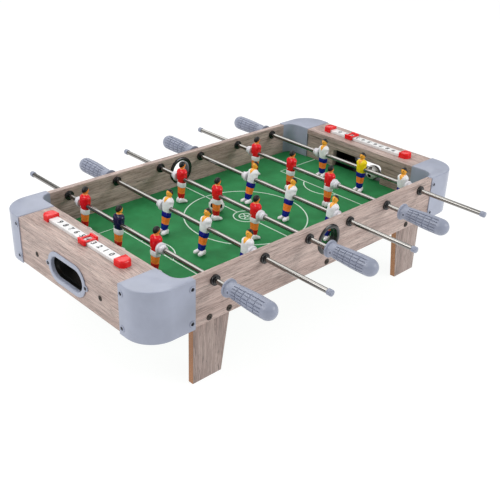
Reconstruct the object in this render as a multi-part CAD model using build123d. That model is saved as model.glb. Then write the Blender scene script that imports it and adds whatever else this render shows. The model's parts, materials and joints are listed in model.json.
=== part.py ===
from build123d import *
import math
import os

# Tabletop foosball. Millimetres, +Z up, Z = 0 at the soles of the legs.
# X runs along the table, from the left goal to the right goal, and Y runs across it.
# The origin is under the middle of the playing field.

# Body
LENGTH = 690.0                # over the end panels
WIDTH = 364.0                 # over the side panels
UNDERSIDE = 102.0             # the panels' lower edge above the soles
PANEL_HEIGHT = 75.0
BOARD = 10.0                  # thickness of panels, legs and shelves
END_BOX = 60.0                # depth of the box at each end
FIELD_THICKNESS = 4.0
FIELD_TOP = UNDERSIDE + 17.5
GROOVE_DEPTH = 4.0            # how far the field reaches into the side panels
PANEL_TOP = UNDERSIDE + PANEL_HEIGHT
SIDE_Y = WIDTH / 2            # outer face of a side panel
INNER_Y = SIDE_Y - BOARD      # inner face of a side panel
END_X = LENGTH / 2            # outer face of an end panel
SHELF_X = END_X - END_BOX     # edge of a shelf over the field
GOAL_X = SHELF_X + 3.0        # field side of a goal panel
FIELD_END_X = GOAL_X + BOARD  # end of the field board, under the goal panel
SHELF_BOTTOM = PANEL_TOP - BOARD

# Corner caps
CAP_SKIN = 1.5                # how far a cap stands proud of the panels
CAP_ALONG = 80.0              # reach along the side panel
CAP_ACROSS = 56.3             # reach along the end panel
CAP_RADIUS = 42.0             # rounding of the panels' corner under the cap's skin
CAP_INNER_RADIUS = 20.0       # hollow corner towards the field
CAP_INNER_WALL = 2.5
CAP_DROP = 2.0                # how far a cap hangs below the panels
SIDE_PANEL_END = END_X - CAP_RADIUS
END_PANEL_END = SIDE_Y - CAP_RADIUS

# Rods, from left to right
ROD_COUNT = 6
ROD_PITCH = 92.5
ROD_HEIGHT = UNDERSIDE + 62.5
ROD_RADIUS = 3.75
ROD_BORE_RADIUS = 2.85
FIGURE_PITCH = 90.5
HANDLE_LENGTH = 86.0
HANDLE_END = 330.5            # tip of the handle from the middle figure
CAP_END = 253.0               # tip of the end cap from the middle figure
CAP_FLOOR = 1.5               # thickness of the end cap's floor
ROD_CAP_RADIUS = 4.7
ROD_CAP_LENGTH = 8.0
RUNNING_CLEARANCE = 0.06      # radial, rod in bushing and rod in bumper
REST_SLIDE = (35.0, -55.5, 22.0, -55.5, 30.5, -55.5)   # middle figure's place across the table
REST_TILT = (5.0, 11.5, 3.0, 15.0, 3.5, 1.0)          # degrees, feet towards the left goal
NEAR_HANDLES = (True, False, True, False, True, False)  # handle on the near (-Y) side

# Handles
HANDLE_FLANGE = 2.6
HANDLE_FLANGE_RADIUS = 13.4
HANDLE_NECK = 13.0            # length of the straight neck
HANDLE_NECK_RADIUS = 10.7
HANDLE_RADIUS = 13.1
HANDLE_DOME = 12.0            # length of the rounded end
HANDLE_BORE_END = 12.0        # from the tip to the end of the bore
HANDLE_SCREW_Y = -(HANDLE_END - HANDLE_LENGTH) - 10.0
HANDLE_SCREW_SEAT = 9.4       # the screw head's seat, from the rod's axis

# Figures, measured from the rod's axis
FOOT_DROP = 43.6
ANKLE_DROP = 35.0
SOLE_THICKNESS = 3.5
HIP_DROP = 15.3
WAIST_DROP = 7.0
SHOULDER_RISE = 16.5
HEAD_RISE = 23.2
HEAD_RADIUS = 6.0
NECK_RADIUS = 3.6
BOSS_HALF_WIDTH = 8.9         # where the rod passes through
TORSO_HALF_DEPTH = 6.5
LEG_HALF_DEPTH = 4.2
BOOT_HEEL = 6.5
BOOT_TOE = 7.2
BOOT_HALF_WIDTH = 7.6

# Bumpers, distances from the outer figure's middle
BUMPER_START = 9.2
BUMPER_SHOULDER = 14.0
BUMPER_NECK = 15.5
BUMPER_END = 21.0
BUMPER_RADIUS = 8.8
BUMPER_NECK_RADIUS = 5.3

# Bushings
BUSH_FLANGE_RADIUS = 8.0
BUSH_FLANGE = 4.0
BUSH_SLEEVE_RADIUS = 6.0
SEAT_CLEARANCE = 0.05         # between a fixed plastic sleeve and its hole

# Ball entry and return
BALL_RADIUS = 13.5
BALL_GAP = 0.3                # between a ball and what it lies on
FIELD_BALL = (-27.5, 43.5)
GOAL_BALL = (297.0, -34.5)
ENTRY_HEIGHT = UNDERSIDE + 46.0
ENTRY_FLANGE_RADIUS = 24.8
ENTRY_SLEEVE_RADIUS = 20.5
ENTRY_BORE_RADIUS = 18.3
ENTRY_FLANGE = 2.5
GOAL_HALF_WIDTH = 58.0
GOAL_HEIGHT = 35.0
GOAL_CORNER = 7.0
RETURN_HEIGHT = UNDERSIDE + 33.5
RETURN_FRAME_SIZE = (95.0, 50.0)
RETURN_SLEEVE_SIZE = (84.0, 38.0)
RETURN_MOUTH_SIZE = (80.0, 34.0)
RETURN_PROUD = 2.0
RETURN_EAR_Y = 48.5
RETURN_EAR_HEIGHT = UNDERSIDE + 32.0
RETURN_EAR_RADIUS = 4.5
TRAY_HALF_WIDTH = 70.0
TRAY_WALL = 2.0

# Legs
LEG_OUTER_X = END_X - 85.0
LEG_TOP_WIDTH = 68.0
LEG_SOLE_WIDTH = 53.0
FIELD_BOTTOM = FIELD_TOP - FIELD_THICKNESS
SUPPORT_WIDTH = 20.0

# Score counters
SCORE_X = END_X - 33.0
SCORE_STRIP = (15.0, 166.0, 5.0)
SCORE_STOP = (20.0, 17.5, 10.0)
SCORE_STOP_CORNER = 8.0
SCORE_MARKER = (24.0, 17.0, 10.0)
SCORE_WINDOW = 9.5
SCORE_PITCH = 14.3            # between two numbers
SCORE_GAP = 0.3               # between the marker and what it slides on
LEFT_SCORE_STEP = -0.5        # the marker's place, in numbers from the strip's middle
RIGHT_SCORE_STEP = 2.5

# Fasteners
BOLT_HEAD_RADIUS = 5.0
BOLT_HEAD = 2.0
BOLT_RADIUS = 2.5
BOLT_HEIGHT = UNDERSIDE + 7.2
LEG_BOLT_X = (END_X - 105.4, END_X - 141.5)
END_BOLT_Y = 81.0
END_BOLT_HEIGHT = UNDERSIDE + 31.5
END_BOLT_HEAD_RADIUS = 4.0
END_BOLT_LENGTH = 47.0
SCREW_HEAD_RADIUS = 2.8
SCREW_HEAD = 0.9
SCREW_RADIUS = 1.4
SCREW_LENGTH = 8.0
CAP_SCREW_HEIGHTS = (UNDERSIDE + 9.8, UNDERSIDE + 62.9)
CAP_SCREW_X = END_X - 74.3
CAP_SCREW_Y = SIDE_Y - 50.2

SIDES = (-1, 1)
ROD_X = [(i - (ROD_COUNT - 1) / 2) * ROD_PITCH for i in range(ROD_COUNT)]


def box_between(low, high):
    """A box from its lowest corner to its highest."""
    size = [b - a for a, b in zip(low, high)]
    middle = [(a + b) / 2 for a, b in zip(low, high)]
    return Pos(*middle) * Box(*size)


def rod_along_y(radius, x, z, y_from, y_to):
    """A cylinder along Y at (x, z)."""
    length = abs(y_to - y_from)
    return Pos(x, (y_from + y_to) / 2, z) * Rot(90, 0, 0) * Cylinder(radius, length)


def rod_along_x(radius, y, z, x_from, x_to):
    """A cylinder along X at (y, z)."""
    length = abs(x_to - x_from)
    return Pos((x_from + x_to) / 2, y, z) * Rot(0, 90, 0) * Cylinder(radius, length)


def turned_along_y(profile):
    """A solid of revolution about the Y axis, from (radius, y) points."""
    outline = make_face(Polyline([(r, y) for r, y in profile], close=True))
    return revolve(outline, axis=Axis.Y)


def slot_along_x(size, x_from, x_to, height):
    """A prism with round ends, its length across the table, running along X."""
    face = Plane.YZ * SlotOverall(size[0], size[1])
    return Pos(x_from, 0, height) * extrude(face, x_to - x_from)


def only_solid(shape):
    """The one solid of a shape, for a clean STEP file."""
    return shape.solids()[0]


# ---------------------------------------------------------------- boards

def playfield():
    return box_between((-FIELD_END_X, -INNER_Y - GROOVE_DEPTH, FIELD_BOTTOM),
                       (FIELD_END_X, INNER_Y + GROOVE_DEPTH, FIELD_TOP))


def side_panel(side):
    """The long panel on one side, with its groove and all its holes."""
    low = min(side * INNER_Y, side * SIDE_Y)
    panel = box_between((-SIDE_PANEL_END, low, UNDERSIDE), (SIDE_PANEL_END, low + BOARD, PANEL_TOP))
    groove = sorted((side * INNER_Y, side * (INNER_Y + GROOVE_DEPTH)))
    panel -= box_between((-SIDE_PANEL_END, groove[0], FIELD_BOTTOM), (SIDE_PANEL_END, groove[1], FIELD_TOP))
    through = (side * (INNER_Y - 1), side * (SIDE_Y + 1))
    for x in ROD_X:
        panel -= rod_along_y(BUSH_SLEEVE_RADIUS, x, ROD_HEIGHT, *through)
    panel -= rod_along_y(ENTRY_SLEEVE_RADIUS, 0, ENTRY_HEIGHT, *through)
    for x in side_bolt_places():
        panel -= rod_along_y(BOLT_RADIUS, x, BOLT_HEIGHT, *through)
    for x in (-CAP_SCREW_X, CAP_SCREW_X):
        for z in CAP_SCREW_HEIGHTS:
            panel -= rod_along_y(SCREW_RADIUS, x, z, side * (SIDE_Y - SCREW_LENGTH), through[1])
    return only_solid(panel)


def end_panel(end):
    """The outer panel at one end, with its ball-return opening."""
    low = min(end * (END_X - BOARD), end * END_X)
    panel = box_between((low, -END_PANEL_END, UNDERSIDE), (low + BOARD, END_PANEL_END, PANEL_TOP))
    opening = [s + 2 * SEAT_CLEARANCE for s in RETURN_SLEEVE_SIZE]
    panel -= slot_along_x(opening, low - 1, low + BOARD + 1, RETURN_HEIGHT)
    through = (low - 1, low + BOARD + 1)
    for side in SIDES:
        panel -= rod_along_x(BOLT_RADIUS, side * END_BOLT_Y, END_BOLT_HEIGHT, *through)
        panel -= rod_along_x(SCREW_RADIUS, side * RETURN_EAR_Y, RETURN_EAR_HEIGHT, *screw_hole(end))
        for z in CAP_SCREW_HEIGHTS:
            panel -= rod_along_x(SCREW_RADIUS, side * CAP_SCREW_Y, z, *screw_hole(end))
    return only_solid(panel)


def screw_hole(end):
    """Where a small screw's hole runs along X in an end panel."""
    return end * (END_X - SCREW_LENGTH), end * (END_X + 1)


def goal_panel(end):
    """The inner panel at one end, standing on the field, with the goal mouth."""
    low = min(end * GOAL_X, end * FIELD_END_X)
    half = END_PANEL_END
    panel = box_between((low, -half, FIELD_TOP), (low + BOARD, half, SHELF_BOTTOM))
    mouth = box_between((low - 1, -GOAL_HALF_WIDTH, FIELD_TOP - 1),
                        (low + BOARD + 1, GOAL_HALF_WIDTH, FIELD_TOP + GOAL_HEIGHT))
    mouth = fillet(mouth.edges().filter_by(Axis.X).group_by(Axis.Z)[-1], GOAL_CORNER)
    panel -= mouth
    for side in SIDES:
        hole = sorted((end * GOAL_X - end, end * FIELD_END_X + end))
        panel -= rod_along_x(BOLT_RADIUS, side * END_BOLT_Y, END_BOLT_HEIGHT, *hole)
    return only_solid(panel)


def shelf(end):
    """The board over an end, with a tongue under each corner cap."""
    reach = SIDE_Y - CAP_ACROSS
    xs = sorted((end * SHELF_X, end * (END_X - BOARD)))
    board = box_between((xs[0], -reach, SHELF_BOTTOM), (xs[1], reach, PANEL_TOP))
    xs = sorted((end * GOAL_X, end * (END_X - BOARD)))
    board += box_between((xs[0], -END_PANEL_END, SHELF_BOTTOM), (xs[1], END_PANEL_END, PANEL_TOP))
    return only_solid(board)


def leg(end, side):
    """A tapered leg board behind a side panel. Its outer edge is upright."""
    outline = Polyline([(LEG_OUTER_X, 0),
                        (LEG_OUTER_X - LEG_SOLE_WIDTH, 0),
                        (LEG_OUTER_X - LEG_TOP_WIDTH, UNDERSIDE),
                        (LEG_OUTER_X - LEG_TOP_WIDTH, FIELD_BOTTOM),
                        (LEG_OUTER_X, FIELD_BOTTOM)], close=True)
    board = extrude(Plane.XZ * make_face(outline), BOARD / 2, both=True)
    board = Pos(0, INNER_Y - BOARD / 2, 0) * board
    for x in LEG_BOLT_X:
        board -= rod_along_y(BOLT_RADIUS, x, BOLT_HEIGHT, INNER_Y - BOARD - 1, INNER_Y + 1)
    return to_corner(board, end, side)


def field_support():
    """The batten under the middle of the field, between the side panels."""
    batten = box_between((-SUPPORT_WIDTH / 2, -INNER_Y, UNDERSIDE + 1),
                         (SUPPORT_WIDTH / 2, INNER_Y, FIELD_BOTTOM))
    for side in SIDES:
        batten -= rod_along_y(BOLT_RADIUS, 0, BOLT_HEIGHT, side * (INNER_Y - BOARD), side * (INNER_Y + 1))
    return only_solid(batten)


def to_corner(shape, end, side):
    """Takes a piece built for the +X, +Y corner to another corner."""
    if end < 0:
        shape = mirror(shape, Plane.YZ)
    if side < 0:
        shape = mirror(shape, Plane.XZ)
    return only_solid(shape)


# ---------------------------------------------------------------- corner caps

def cap_outline():
    """A corner cap seen from above, in the +X, +Y corner."""
    x_out = END_X + CAP_SKIN
    y_out = SIDE_Y + CAP_SKIN
    x_low = END_X - CAP_ALONG
    y_low = SIDE_Y - CAP_ACROSS
    round_out = CAP_RADIUS + CAP_SKIN
    lines = Line((x_out, y_low), (x_out, y_out - round_out))
    lines += RadiusArc((x_out, y_out - round_out), (x_out - round_out, y_out), -round_out)
    lines += Polyline((x_out - round_out, y_out), (x_low, y_out), (x_low, INNER_Y))
    hollow_y = INNER_Y - CAP_INNER_RADIUS
    lines += RadiusArc((SHELF_X - CAP_INNER_RADIUS, INNER_Y), (SHELF_X, hollow_y), CAP_INNER_RADIUS)
    lines += Polyline((SHELF_X, hollow_y), (SHELF_X, y_low), (x_out, y_low))
    return make_face(lines)


def cap_hollow():
    """The room inside a corner cap that the panels' ends fill."""
    x_low = END_X - CAP_ALONG
    y_low = SIDE_Y - CAP_ACROSS
    centre = (SHELF_X - CAP_INNER_RADIUS, INNER_Y - CAP_INNER_RADIUS)
    back = CAP_INNER_RADIUS + CAP_INNER_WALL
    meets_x = centre[0] + math.sqrt(back ** 2 - CAP_INNER_RADIUS ** 2)
    lines = Line((SHELF_X + CAP_INNER_WALL, y_low), (SHELF_X + CAP_INNER_WALL, centre[1]))
    lines += RadiusArc((centre[0] + back, centre[1]), (meets_x, INNER_Y), -back)
    lines += Polyline((meets_x, INNER_Y), (x_low, INNER_Y), (x_low, SIDE_Y), (SIDE_PANEL_END, SIDE_Y))
    lines += RadiusArc((SIDE_PANEL_END, SIDE_Y), (END_X, END_PANEL_END), CAP_RADIUS)
    lines += Polyline((END_X, END_PANEL_END), (END_X, y_low), (SHELF_X + CAP_INNER_WALL, y_low))
    return make_face(lines)


def corner_cap(end, side):
    """A moulded cap: outer skirt, top plate and the hollow wall towards the field."""
    bottom = UNDERSIDE - CAP_DROP
    top = PANEL_TOP + CAP_SKIN
    cap = extrude(Pos(0, 0, bottom) * cap_outline(), top - bottom)
    cap -= extrude(Pos(0, 0, bottom) * cap_hollow(), PANEL_TOP - bottom)
    cap -= box_between((0, 0, bottom), (SHELF_X + CAP_INNER_WALL, INNER_Y, FIELD_TOP))
    for z in CAP_SCREW_HEIGHTS:
        cap -= rod_along_y(SCREW_RADIUS, CAP_SCREW_X, z, SIDE_Y - 1, SIDE_Y + CAP_SKIN + 1)
        cap -= rod_along_x(SCREW_RADIUS, CAP_SCREW_Y, z, END_X - 1, END_X + CAP_SKIN + 1)
    return to_corner(cap, end, side)


# ---------------------------------------------------------------- ball entry and return

def ball_entry_rings():
    """An outer and an inner half ring in each side panel."""
    rings = []
    middle = INNER_Y + BOARD / 2
    for side in SIDES:
        for flange_from, flange_to in ((SIDE_Y, SIDE_Y + ENTRY_FLANGE), (INNER_Y, INNER_Y - ENTRY_FLANGE)):
            ring = rod_along_y(ENTRY_FLANGE_RADIUS, 0, ENTRY_HEIGHT, side * flange_from, side * flange_to)
            sleeve = ENTRY_SLEEVE_RADIUS - SEAT_CLEARANCE
            ring += rod_along_y(sleeve, 0, ENTRY_HEIGHT, side * middle, side * flange_from)
            hole = (side * (middle - BOARD), side * (middle + BOARD))
            ring -= rod_along_y(ENTRY_BORE_RADIUS, 0, ENTRY_HEIGHT, *hole)
            rings.append(only_solid(ring))
    return Compound(rings)


def return_frame(end):
    """The frame of a ball-return opening: a rim with two ears, and a sleeve through the panel."""
    face = end * END_X
    front = end * (END_X + RETURN_PROUD)
    rim = slot_along_x(RETURN_FRAME_SIZE, min(face, front), max(face, front), RETURN_HEIGHT)
    for side in SIDES:
        rim += rod_along_x(RETURN_EAR_RADIUS, side * RETURN_EAR_Y, RETURN_EAR_HEIGHT, face, front)
    back = end * (END_X - BOARD)
    frame = rim + slot_along_x(RETURN_SLEEVE_SIZE, min(back, face), max(back, face), RETURN_HEIGHT)
    frame -= slot_along_x(RETURN_MOUTH_SIZE, min(back, front) - 1, max(back, front) + 1, RETURN_HEIGHT)
    for side in SIDES:
        frame -= rod_along_x(SCREW_RADIUS, side * RETURN_EAR_Y, RETURN_EAR_HEIGHT, face - end, front + end)
    return only_solid(frame)


def return_frames():
    return Compound([return_frame(end) for end in SIDES])


def ball_tray(end):
    """The tray between a goal mouth and the return opening: a floor and two walls."""
    xs = sorted((end * FIELD_END_X, end * (END_X - BOARD)))
    tray = box_between((xs[0], -TRAY_HALF_WIDTH, FIELD_TOP - TRAY_WALL), (xs[1], TRAY_HALF_WIDTH, FIELD_TOP))
    for side in SIDES:
        ys = sorted((side * (TRAY_HALF_WIDTH - TRAY_WALL), side * TRAY_HALF_WIDTH))
        tray += box_between((xs[0], ys[0], FIELD_TOP), (xs[1], ys[1], SHELF_BOTTOM))
    return only_solid(tray)


def ball_trays():
    return Compound([ball_tray(end) for end in SIDES])


def ball(place, x_y):
    return Pos(x_y[0], x_y[1], place + BALL_RADIUS + BALL_GAP) * Sphere(BALL_RADIUS)


# ---------------------------------------------------------------- score counters

def score_strips():
    strips = []
    for end in SIDES:
        strips.append(Pos(end * SCORE_X, 0, PANEL_TOP + SCORE_STRIP[2] / 2) * Box(*SCORE_STRIP))
    return Compound([only_solid(s) for s in strips])


def score_stop(end, side):
    """A red block that ends a strip, rounded on its far end and its top."""
    width, length, height = SCORE_STOP
    stop = Box(width, length, height)
    outer = stop.edges().filter_by(Axis.Z).group_by(Axis.Y)[-1]
    stop = fillet(outer, SCORE_STOP_CORNER)
    stop = fillet(stop.faces().sort_by(Axis.Z)[-1].edges(), height / 4)
    if side < 0:
        stop = Rot(0, 0, 180) * stop
    y = side * (SCORE_STRIP[1] + length) / 2
    return only_solid(Pos(end * SCORE_X, y, PANEL_TOP + height / 2) * stop)


def score_stops():
    return Compound([score_stop(end, side) for end in SIDES for side in SIDES])


def score_marker(end, step):
    """A red rider with a window, straddling its strip."""
    width, length, height = SCORE_MARKER
    rider = Box(width, length, height)
    rider = fillet(rider.edges().filter_by(Axis.Z), 2.0)
    rider = Pos(0, 0, PANEL_TOP + SCORE_GAP + height / 2) * rider
    channel = SCORE_STRIP[0] / 2 + SCORE_GAP
    roof = PANEL_TOP + SCORE_STRIP[2] + SCORE_GAP
    rider -= box_between((-channel, -length, PANEL_TOP), (channel, length, roof))
    rider -= Pos(0, 0, PANEL_TOP + height) * Box(SCORE_WINDOW, SCORE_WINDOW, 2 * height)
    return only_solid(Pos(end * SCORE_X, step * SCORE_PITCH, 0) * rider)


# ---------------------------------------------------------------- bushings and fasteners

def rod_bushings():
    """In each hole a flanged sleeve from outside and a ring round its inner end."""
    pieces = []
    bore = ROD_RADIUS + RUNNING_CLEARANCE
    sleeve = BUSH_SLEEVE_RADIUS - SEAT_CLEARANCE
    for side in SIDES:
        ends = (side * (INNER_Y - BUSH_FLANGE), side * (SIDE_Y + BUSH_FLANGE))
        for x in ROD_X:
            bush = rod_along_y(sleeve, x, ROD_HEIGHT, ends[0], side * SIDE_Y)
            bush += rod_along_y(BUSH_FLANGE_RADIUS, x, ROD_HEIGHT, side * SIDE_Y, ends[1])
            bush -= rod_along_y(bore, x, ROD_HEIGHT, *ends)
            ring = rod_along_y(BUSH_FLANGE_RADIUS, x, ROD_HEIGHT, ends[0], side * INNER_Y)
            ring -= rod_along_y(BUSH_SLEEVE_RADIUS, x, ROD_HEIGHT, ends[0], side * INNER_Y)
            pieces += [only_solid(bush), only_solid(ring)]
    return Compound(pieces)


def side_bolt_places():
    """Where the bolts of a side panel are, along X."""
    return [0.0] + [end * x for end in SIDES for x in LEG_BOLT_X]


def panel_bolts():
    """The bolts of the legs, of the field support and of the end panels."""
    bolts = []
    for side in SIDES:
        for x in side_bolt_places():
            head = rod_along_y(BOLT_HEAD_RADIUS, x, BOLT_HEIGHT, side * SIDE_Y, side * (SIDE_Y + BOLT_HEAD))
            shank = rod_along_y(BOLT_RADIUS, x, BOLT_HEIGHT, side * (INNER_Y - BOARD), side * SIDE_Y)
            bolts.append(only_solid(head + shank))
        for end in SIDES:
            line = (side * END_BOLT_Y, END_BOLT_HEIGHT)
            head = rod_along_x(END_BOLT_HEAD_RADIUS, *line, end * END_X, end * (END_X + BOLT_HEAD / 2))
            shank = rod_along_x(BOLT_RADIUS, *line, end * END_X, end * (END_X - END_BOLT_LENGTH))
            bolts.append(only_solid(head + shank))
    return Compound(bolts)


def screw_along_y(x, z, side):
    face = side * (SIDE_Y + CAP_SKIN)
    screw = rod_along_y(SCREW_HEAD_RADIUS, x, z, face, face + side * SCREW_HEAD)
    return only_solid(screw + rod_along_y(SCREW_RADIUS, x, z, side * (SIDE_Y - SCREW_LENGTH), face))


def screw_along_x(y, z, end, proud):
    face = end * (END_X + proud)
    screw = rod_along_x(SCREW_HEAD_RADIUS, y, z, face, face + end * SCREW_HEAD)
    return only_solid(screw + rod_along_x(SCREW_RADIUS, y, z, end * (END_X - SCREW_LENGTH), face))


def trim_screws():
    """The small screws of the corner caps and of the return frames."""
    screws = []
    for end in SIDES:
        for side in SIDES:
            for z in CAP_SCREW_HEIGHTS:
                screws.append(screw_along_y(end * CAP_SCREW_X, z, side))
                screws.append(screw_along_x(side * CAP_SCREW_Y, z, end, CAP_SKIN))
            screws.append(screw_along_x(side * RETURN_EAR_Y, RETURN_EAR_HEIGHT, end, RETURN_PROUD))
    return Compound(screws)


# ---------------------------------------------------------------- rods
# A rod's pieces are built about the origin with the middle figure at y = 0 and the handle
# at -Y, and placed by on_rod().

def on_rod(shape, index):
    """Puts a piece of rod number index (from 0) where the rod rests."""
    if not NEAR_HANDLES[index]:
        shape = mirror(shape, Plane.XZ)
    turn = Rot(0, REST_TILT[index], 0)
    return Pos(ROD_X[index], REST_SLIDE[index], ROD_HEIGHT) * turn * shape


def rod_tube():
    tube = rod_along_y(ROD_RADIUS, 0, 0, -HANDLE_END + HANDLE_BORE_END, CAP_END - CAP_FLOOR)
    return tube - rod_along_y(ROD_BORE_RADIUS, 0, 0, -HANDLE_END, CAP_END)


def handle():
    """A grip with a flange, a neck, a slight swell and a domed end."""
    start = -(HANDLE_END - HANDLE_LENGTH)
    tip = -HANDLE_END
    flange_end = start - HANDLE_FLANGE
    neck_end = flange_end - HANDLE_NECK
    dome_start = tip + HANDLE_DOME
    outline = Polyline((0, start), (HANDLE_FLANGE_RADIUS, start), (HANDLE_FLANGE_RADIUS, flange_end),
                       (HANDLE_NECK_RADIUS, flange_end - 1), (HANDLE_NECK_RADIUS, neck_end))
    outline += Spline((HANDLE_NECK_RADIUS, neck_end), (HANDLE_RADIUS, dome_start),
                      tangents=[(0, -1), (0, -1)])
    outline += EllipticalCenterArc((0, dome_start), HANDLE_RADIUS, HANDLE_DOME, -90, arc_size=90)
    outline += Line((0, tip), (0, start))
    grip = revolve(make_face(outline), axis=Axis.Y)
    grip -= rod_along_y(ROD_RADIUS, 0, 0, start + 1, tip + HANDLE_BORE_END)
    return grip - handle_screw_hole()


def handle_screw_hole():
    """A countersunk hole towards -X in the neck."""
    outside = -HANDLE_FLANGE_RADIUS
    hole = rod_along_x(SCREW_RADIUS, HANDLE_SCREW_Y, 0, -ROD_RADIUS + 0.5, outside)
    return hole + rod_along_x(SCREW_HEAD_RADIUS, HANDLE_SCREW_Y, 0, -HANDLE_SCREW_SEAT, outside)


def rod_fittings():
    """The end cap and the handle's screw."""
    shoulder = CAP_END - CAP_FLOOR
    cap = turned_along_y([(0, CAP_END), (ROD_RADIUS, CAP_END), (ROD_CAP_RADIUS, shoulder),
                          (ROD_CAP_RADIUS, CAP_END - ROD_CAP_LENGTH), (0, CAP_END - ROD_CAP_LENGTH)])
    cap -= rod_along_y(ROD_RADIUS, 0, 0, 0, shoulder)
    head_top = -HANDLE_SCREW_SEAT - SCREW_HEAD
    screw = rod_along_x(SCREW_HEAD_RADIUS, HANDLE_SCREW_Y, 0, -HANDLE_SCREW_SEAT, head_top)
    screw += rod_along_x(SCREW_RADIUS, HANDLE_SCREW_Y, 0, -ROD_RADIUS, -HANDLE_SCREW_SEAT)
    return Compound([only_solid(cap), only_solid(screw)])


def figure():
    """One player, facing +X, with the rod through the chest."""
    half = [(BOSS_HALF_WIDTH - 0.5, -WAIST_DROP), (BOSS_HALF_WIDTH, -4), (BOSS_HALF_WIDTH, BUMPER_RADIUS),
            (10.2, 10.0), (9.6, 13.0), (6.8, 15.5), (3.4, SHOULDER_RISE)]
    body = flat_figure_part(both_halves(half), TORSO_HALF_DEPTH, 1.5)
    half = [(5.2, -ANKLE_DROP), (6.4, -HIP_DROP - 1), (BOSS_HALF_WIDTH - 1, -HIP_DROP),
            (BOSS_HALF_WIDTH - 0.5, -WAIST_DROP)]
    body += flat_figure_part(both_halves(half), LEG_HALF_DEPTH, 1.0)
    body += Pos(0, 0, (SHOULDER_RISE + HEAD_RISE) / 2) * Cylinder(NECK_RADIUS, HEAD_RISE - SHOULDER_RISE + 2)
    body += Pos(0, 0, HEAD_RISE) * Sphere(HEAD_RADIUS)
    return only_solid(body + boots() - rod_along_y(ROD_RADIUS, 0, 0, -FIGURE_PITCH / 2, FIGURE_PITCH / 2))


def both_halves(half):
    """The whole (y, z) outline from its +Y half, listed upwards."""
    return half + [(-y, z) for y, z in reversed(half)]


def boots():
    """Both boots as one wedge, its toe towards +X."""
    sole_top = -FOOT_DROP + SOLE_THICKNESS
    outline = Polyline([(-BOOT_HEEL, -FOOT_DROP), (BOOT_TOE, -FOOT_DROP), (BOOT_TOE, sole_top),
                        (LEG_HALF_DEPTH, -ANKLE_DROP), (-LEG_HALF_DEPTH, -ANKLE_DROP),
                        (-BOOT_HEEL, sole_top)], close=True)
    return extrude(Plane.XZ * make_face(outline), BOOT_HALF_WIDTH, both=True)


def flat_figure_part(outline, half_depth, edge):
    """A part of a figure from its (y, z) outline, with softened edges front and back."""
    part = extrude(Plane.YZ * make_face(Polyline(outline, close=True)), half_depth, both=True)
    flat = part.faces().filter_by(Axis.X)
    return chamfer(flat.edges(), edge)


def figures(index):
    """The three figures of a rod. The teams face each other."""
    player = figure()
    if not NEAR_HANDLES[index]:
        player = mirror(player, Plane.YZ)
    return Compound([Pos(0, step * FIGURE_PITCH, 0) * player for step in (-1, 0, 1)])


def bumpers():
    """The two loose bumpers, wide end towards the outer figures."""
    bore = ROD_RADIUS + RUNNING_CLEARANCE
    profile = [(bore, BUMPER_START), (BUMPER_RADIUS - 1, BUMPER_START), (BUMPER_RADIUS, BUMPER_START + 1),
               (BUMPER_RADIUS, BUMPER_SHOULDER), (BUMPER_NECK_RADIUS, BUMPER_NECK),
               (BUMPER_NECK_RADIUS, BUMPER_END), (bore, BUMPER_END)]
    one = Pos(0, FIGURE_PITCH, 0) * turned_along_y(profile)
    return Compound([only_solid(one), only_solid(mirror(one, Plane.XZ))])


# ---------------------------------------------------------------- files

def save(name, shape):
    export_step(shape, os.path.join("parts", name + ".step"))


def save_body():
    save("playfield", playfield())
    save("field_support", field_support())
    for side, side_name in ((-1, "near"), (1, "far")):
        save("side_panel_" + side_name, side_panel(side))
    for end, end_name in ((-1, "left"), (1, "right")):
        save("end_panel_" + end_name, end_panel(end))
        save("goal_panel_" + end_name, goal_panel(end))
        save("shelf_" + end_name, shelf(end))
        for side, side_name in ((-1, "near"), (1, "far")):
            corner = side_name + "_" + end_name
            save("corner_cap_" + corner, corner_cap(end, side))
            save("leg_" + corner, leg(end, side))


def save_fittings():
    save("return_frames", return_frames())
    save("ball_trays", ball_trays())
    save("ball_entry_rings", ball_entry_rings())
    save("rod_bushings", rod_bushings())
    save("panel_bolts", panel_bolts())
    save("trim_screws", trim_screws())
    save("score_strips", score_strips())
    save("score_stops", score_stops())
    save("score_marker_left", score_marker(-1, LEFT_SCORE_STEP))
    save("score_marker_right", score_marker(1, RIGHT_SCORE_STEP))
    save("field_ball", ball(FIELD_TOP, FIELD_BALL))
    save("goal_ball", ball(FIELD_TOP, GOAL_BALL))


def save_rods():
    for index in range(ROD_COUNT):
        number = str(index + 1)
        save("rod_" + number, on_rod(rod_tube(), index))
        save("handle_" + number, on_rod(handle(), index))
        save("rod_fittings_" + number, on_rod(rod_fittings(), index))
        save("figures_" + number, on_rod(figures(index), index))
        save("bumpers_" + number, on_rod(bumpers(), index))


os.makedirs("parts", exist_ok=True)
save_body()
save_fittings()
save_rods()
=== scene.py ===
import json
import math

import bmesh
import bpy
import numpy as np
from mathutils import Matrix, Vector


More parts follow.
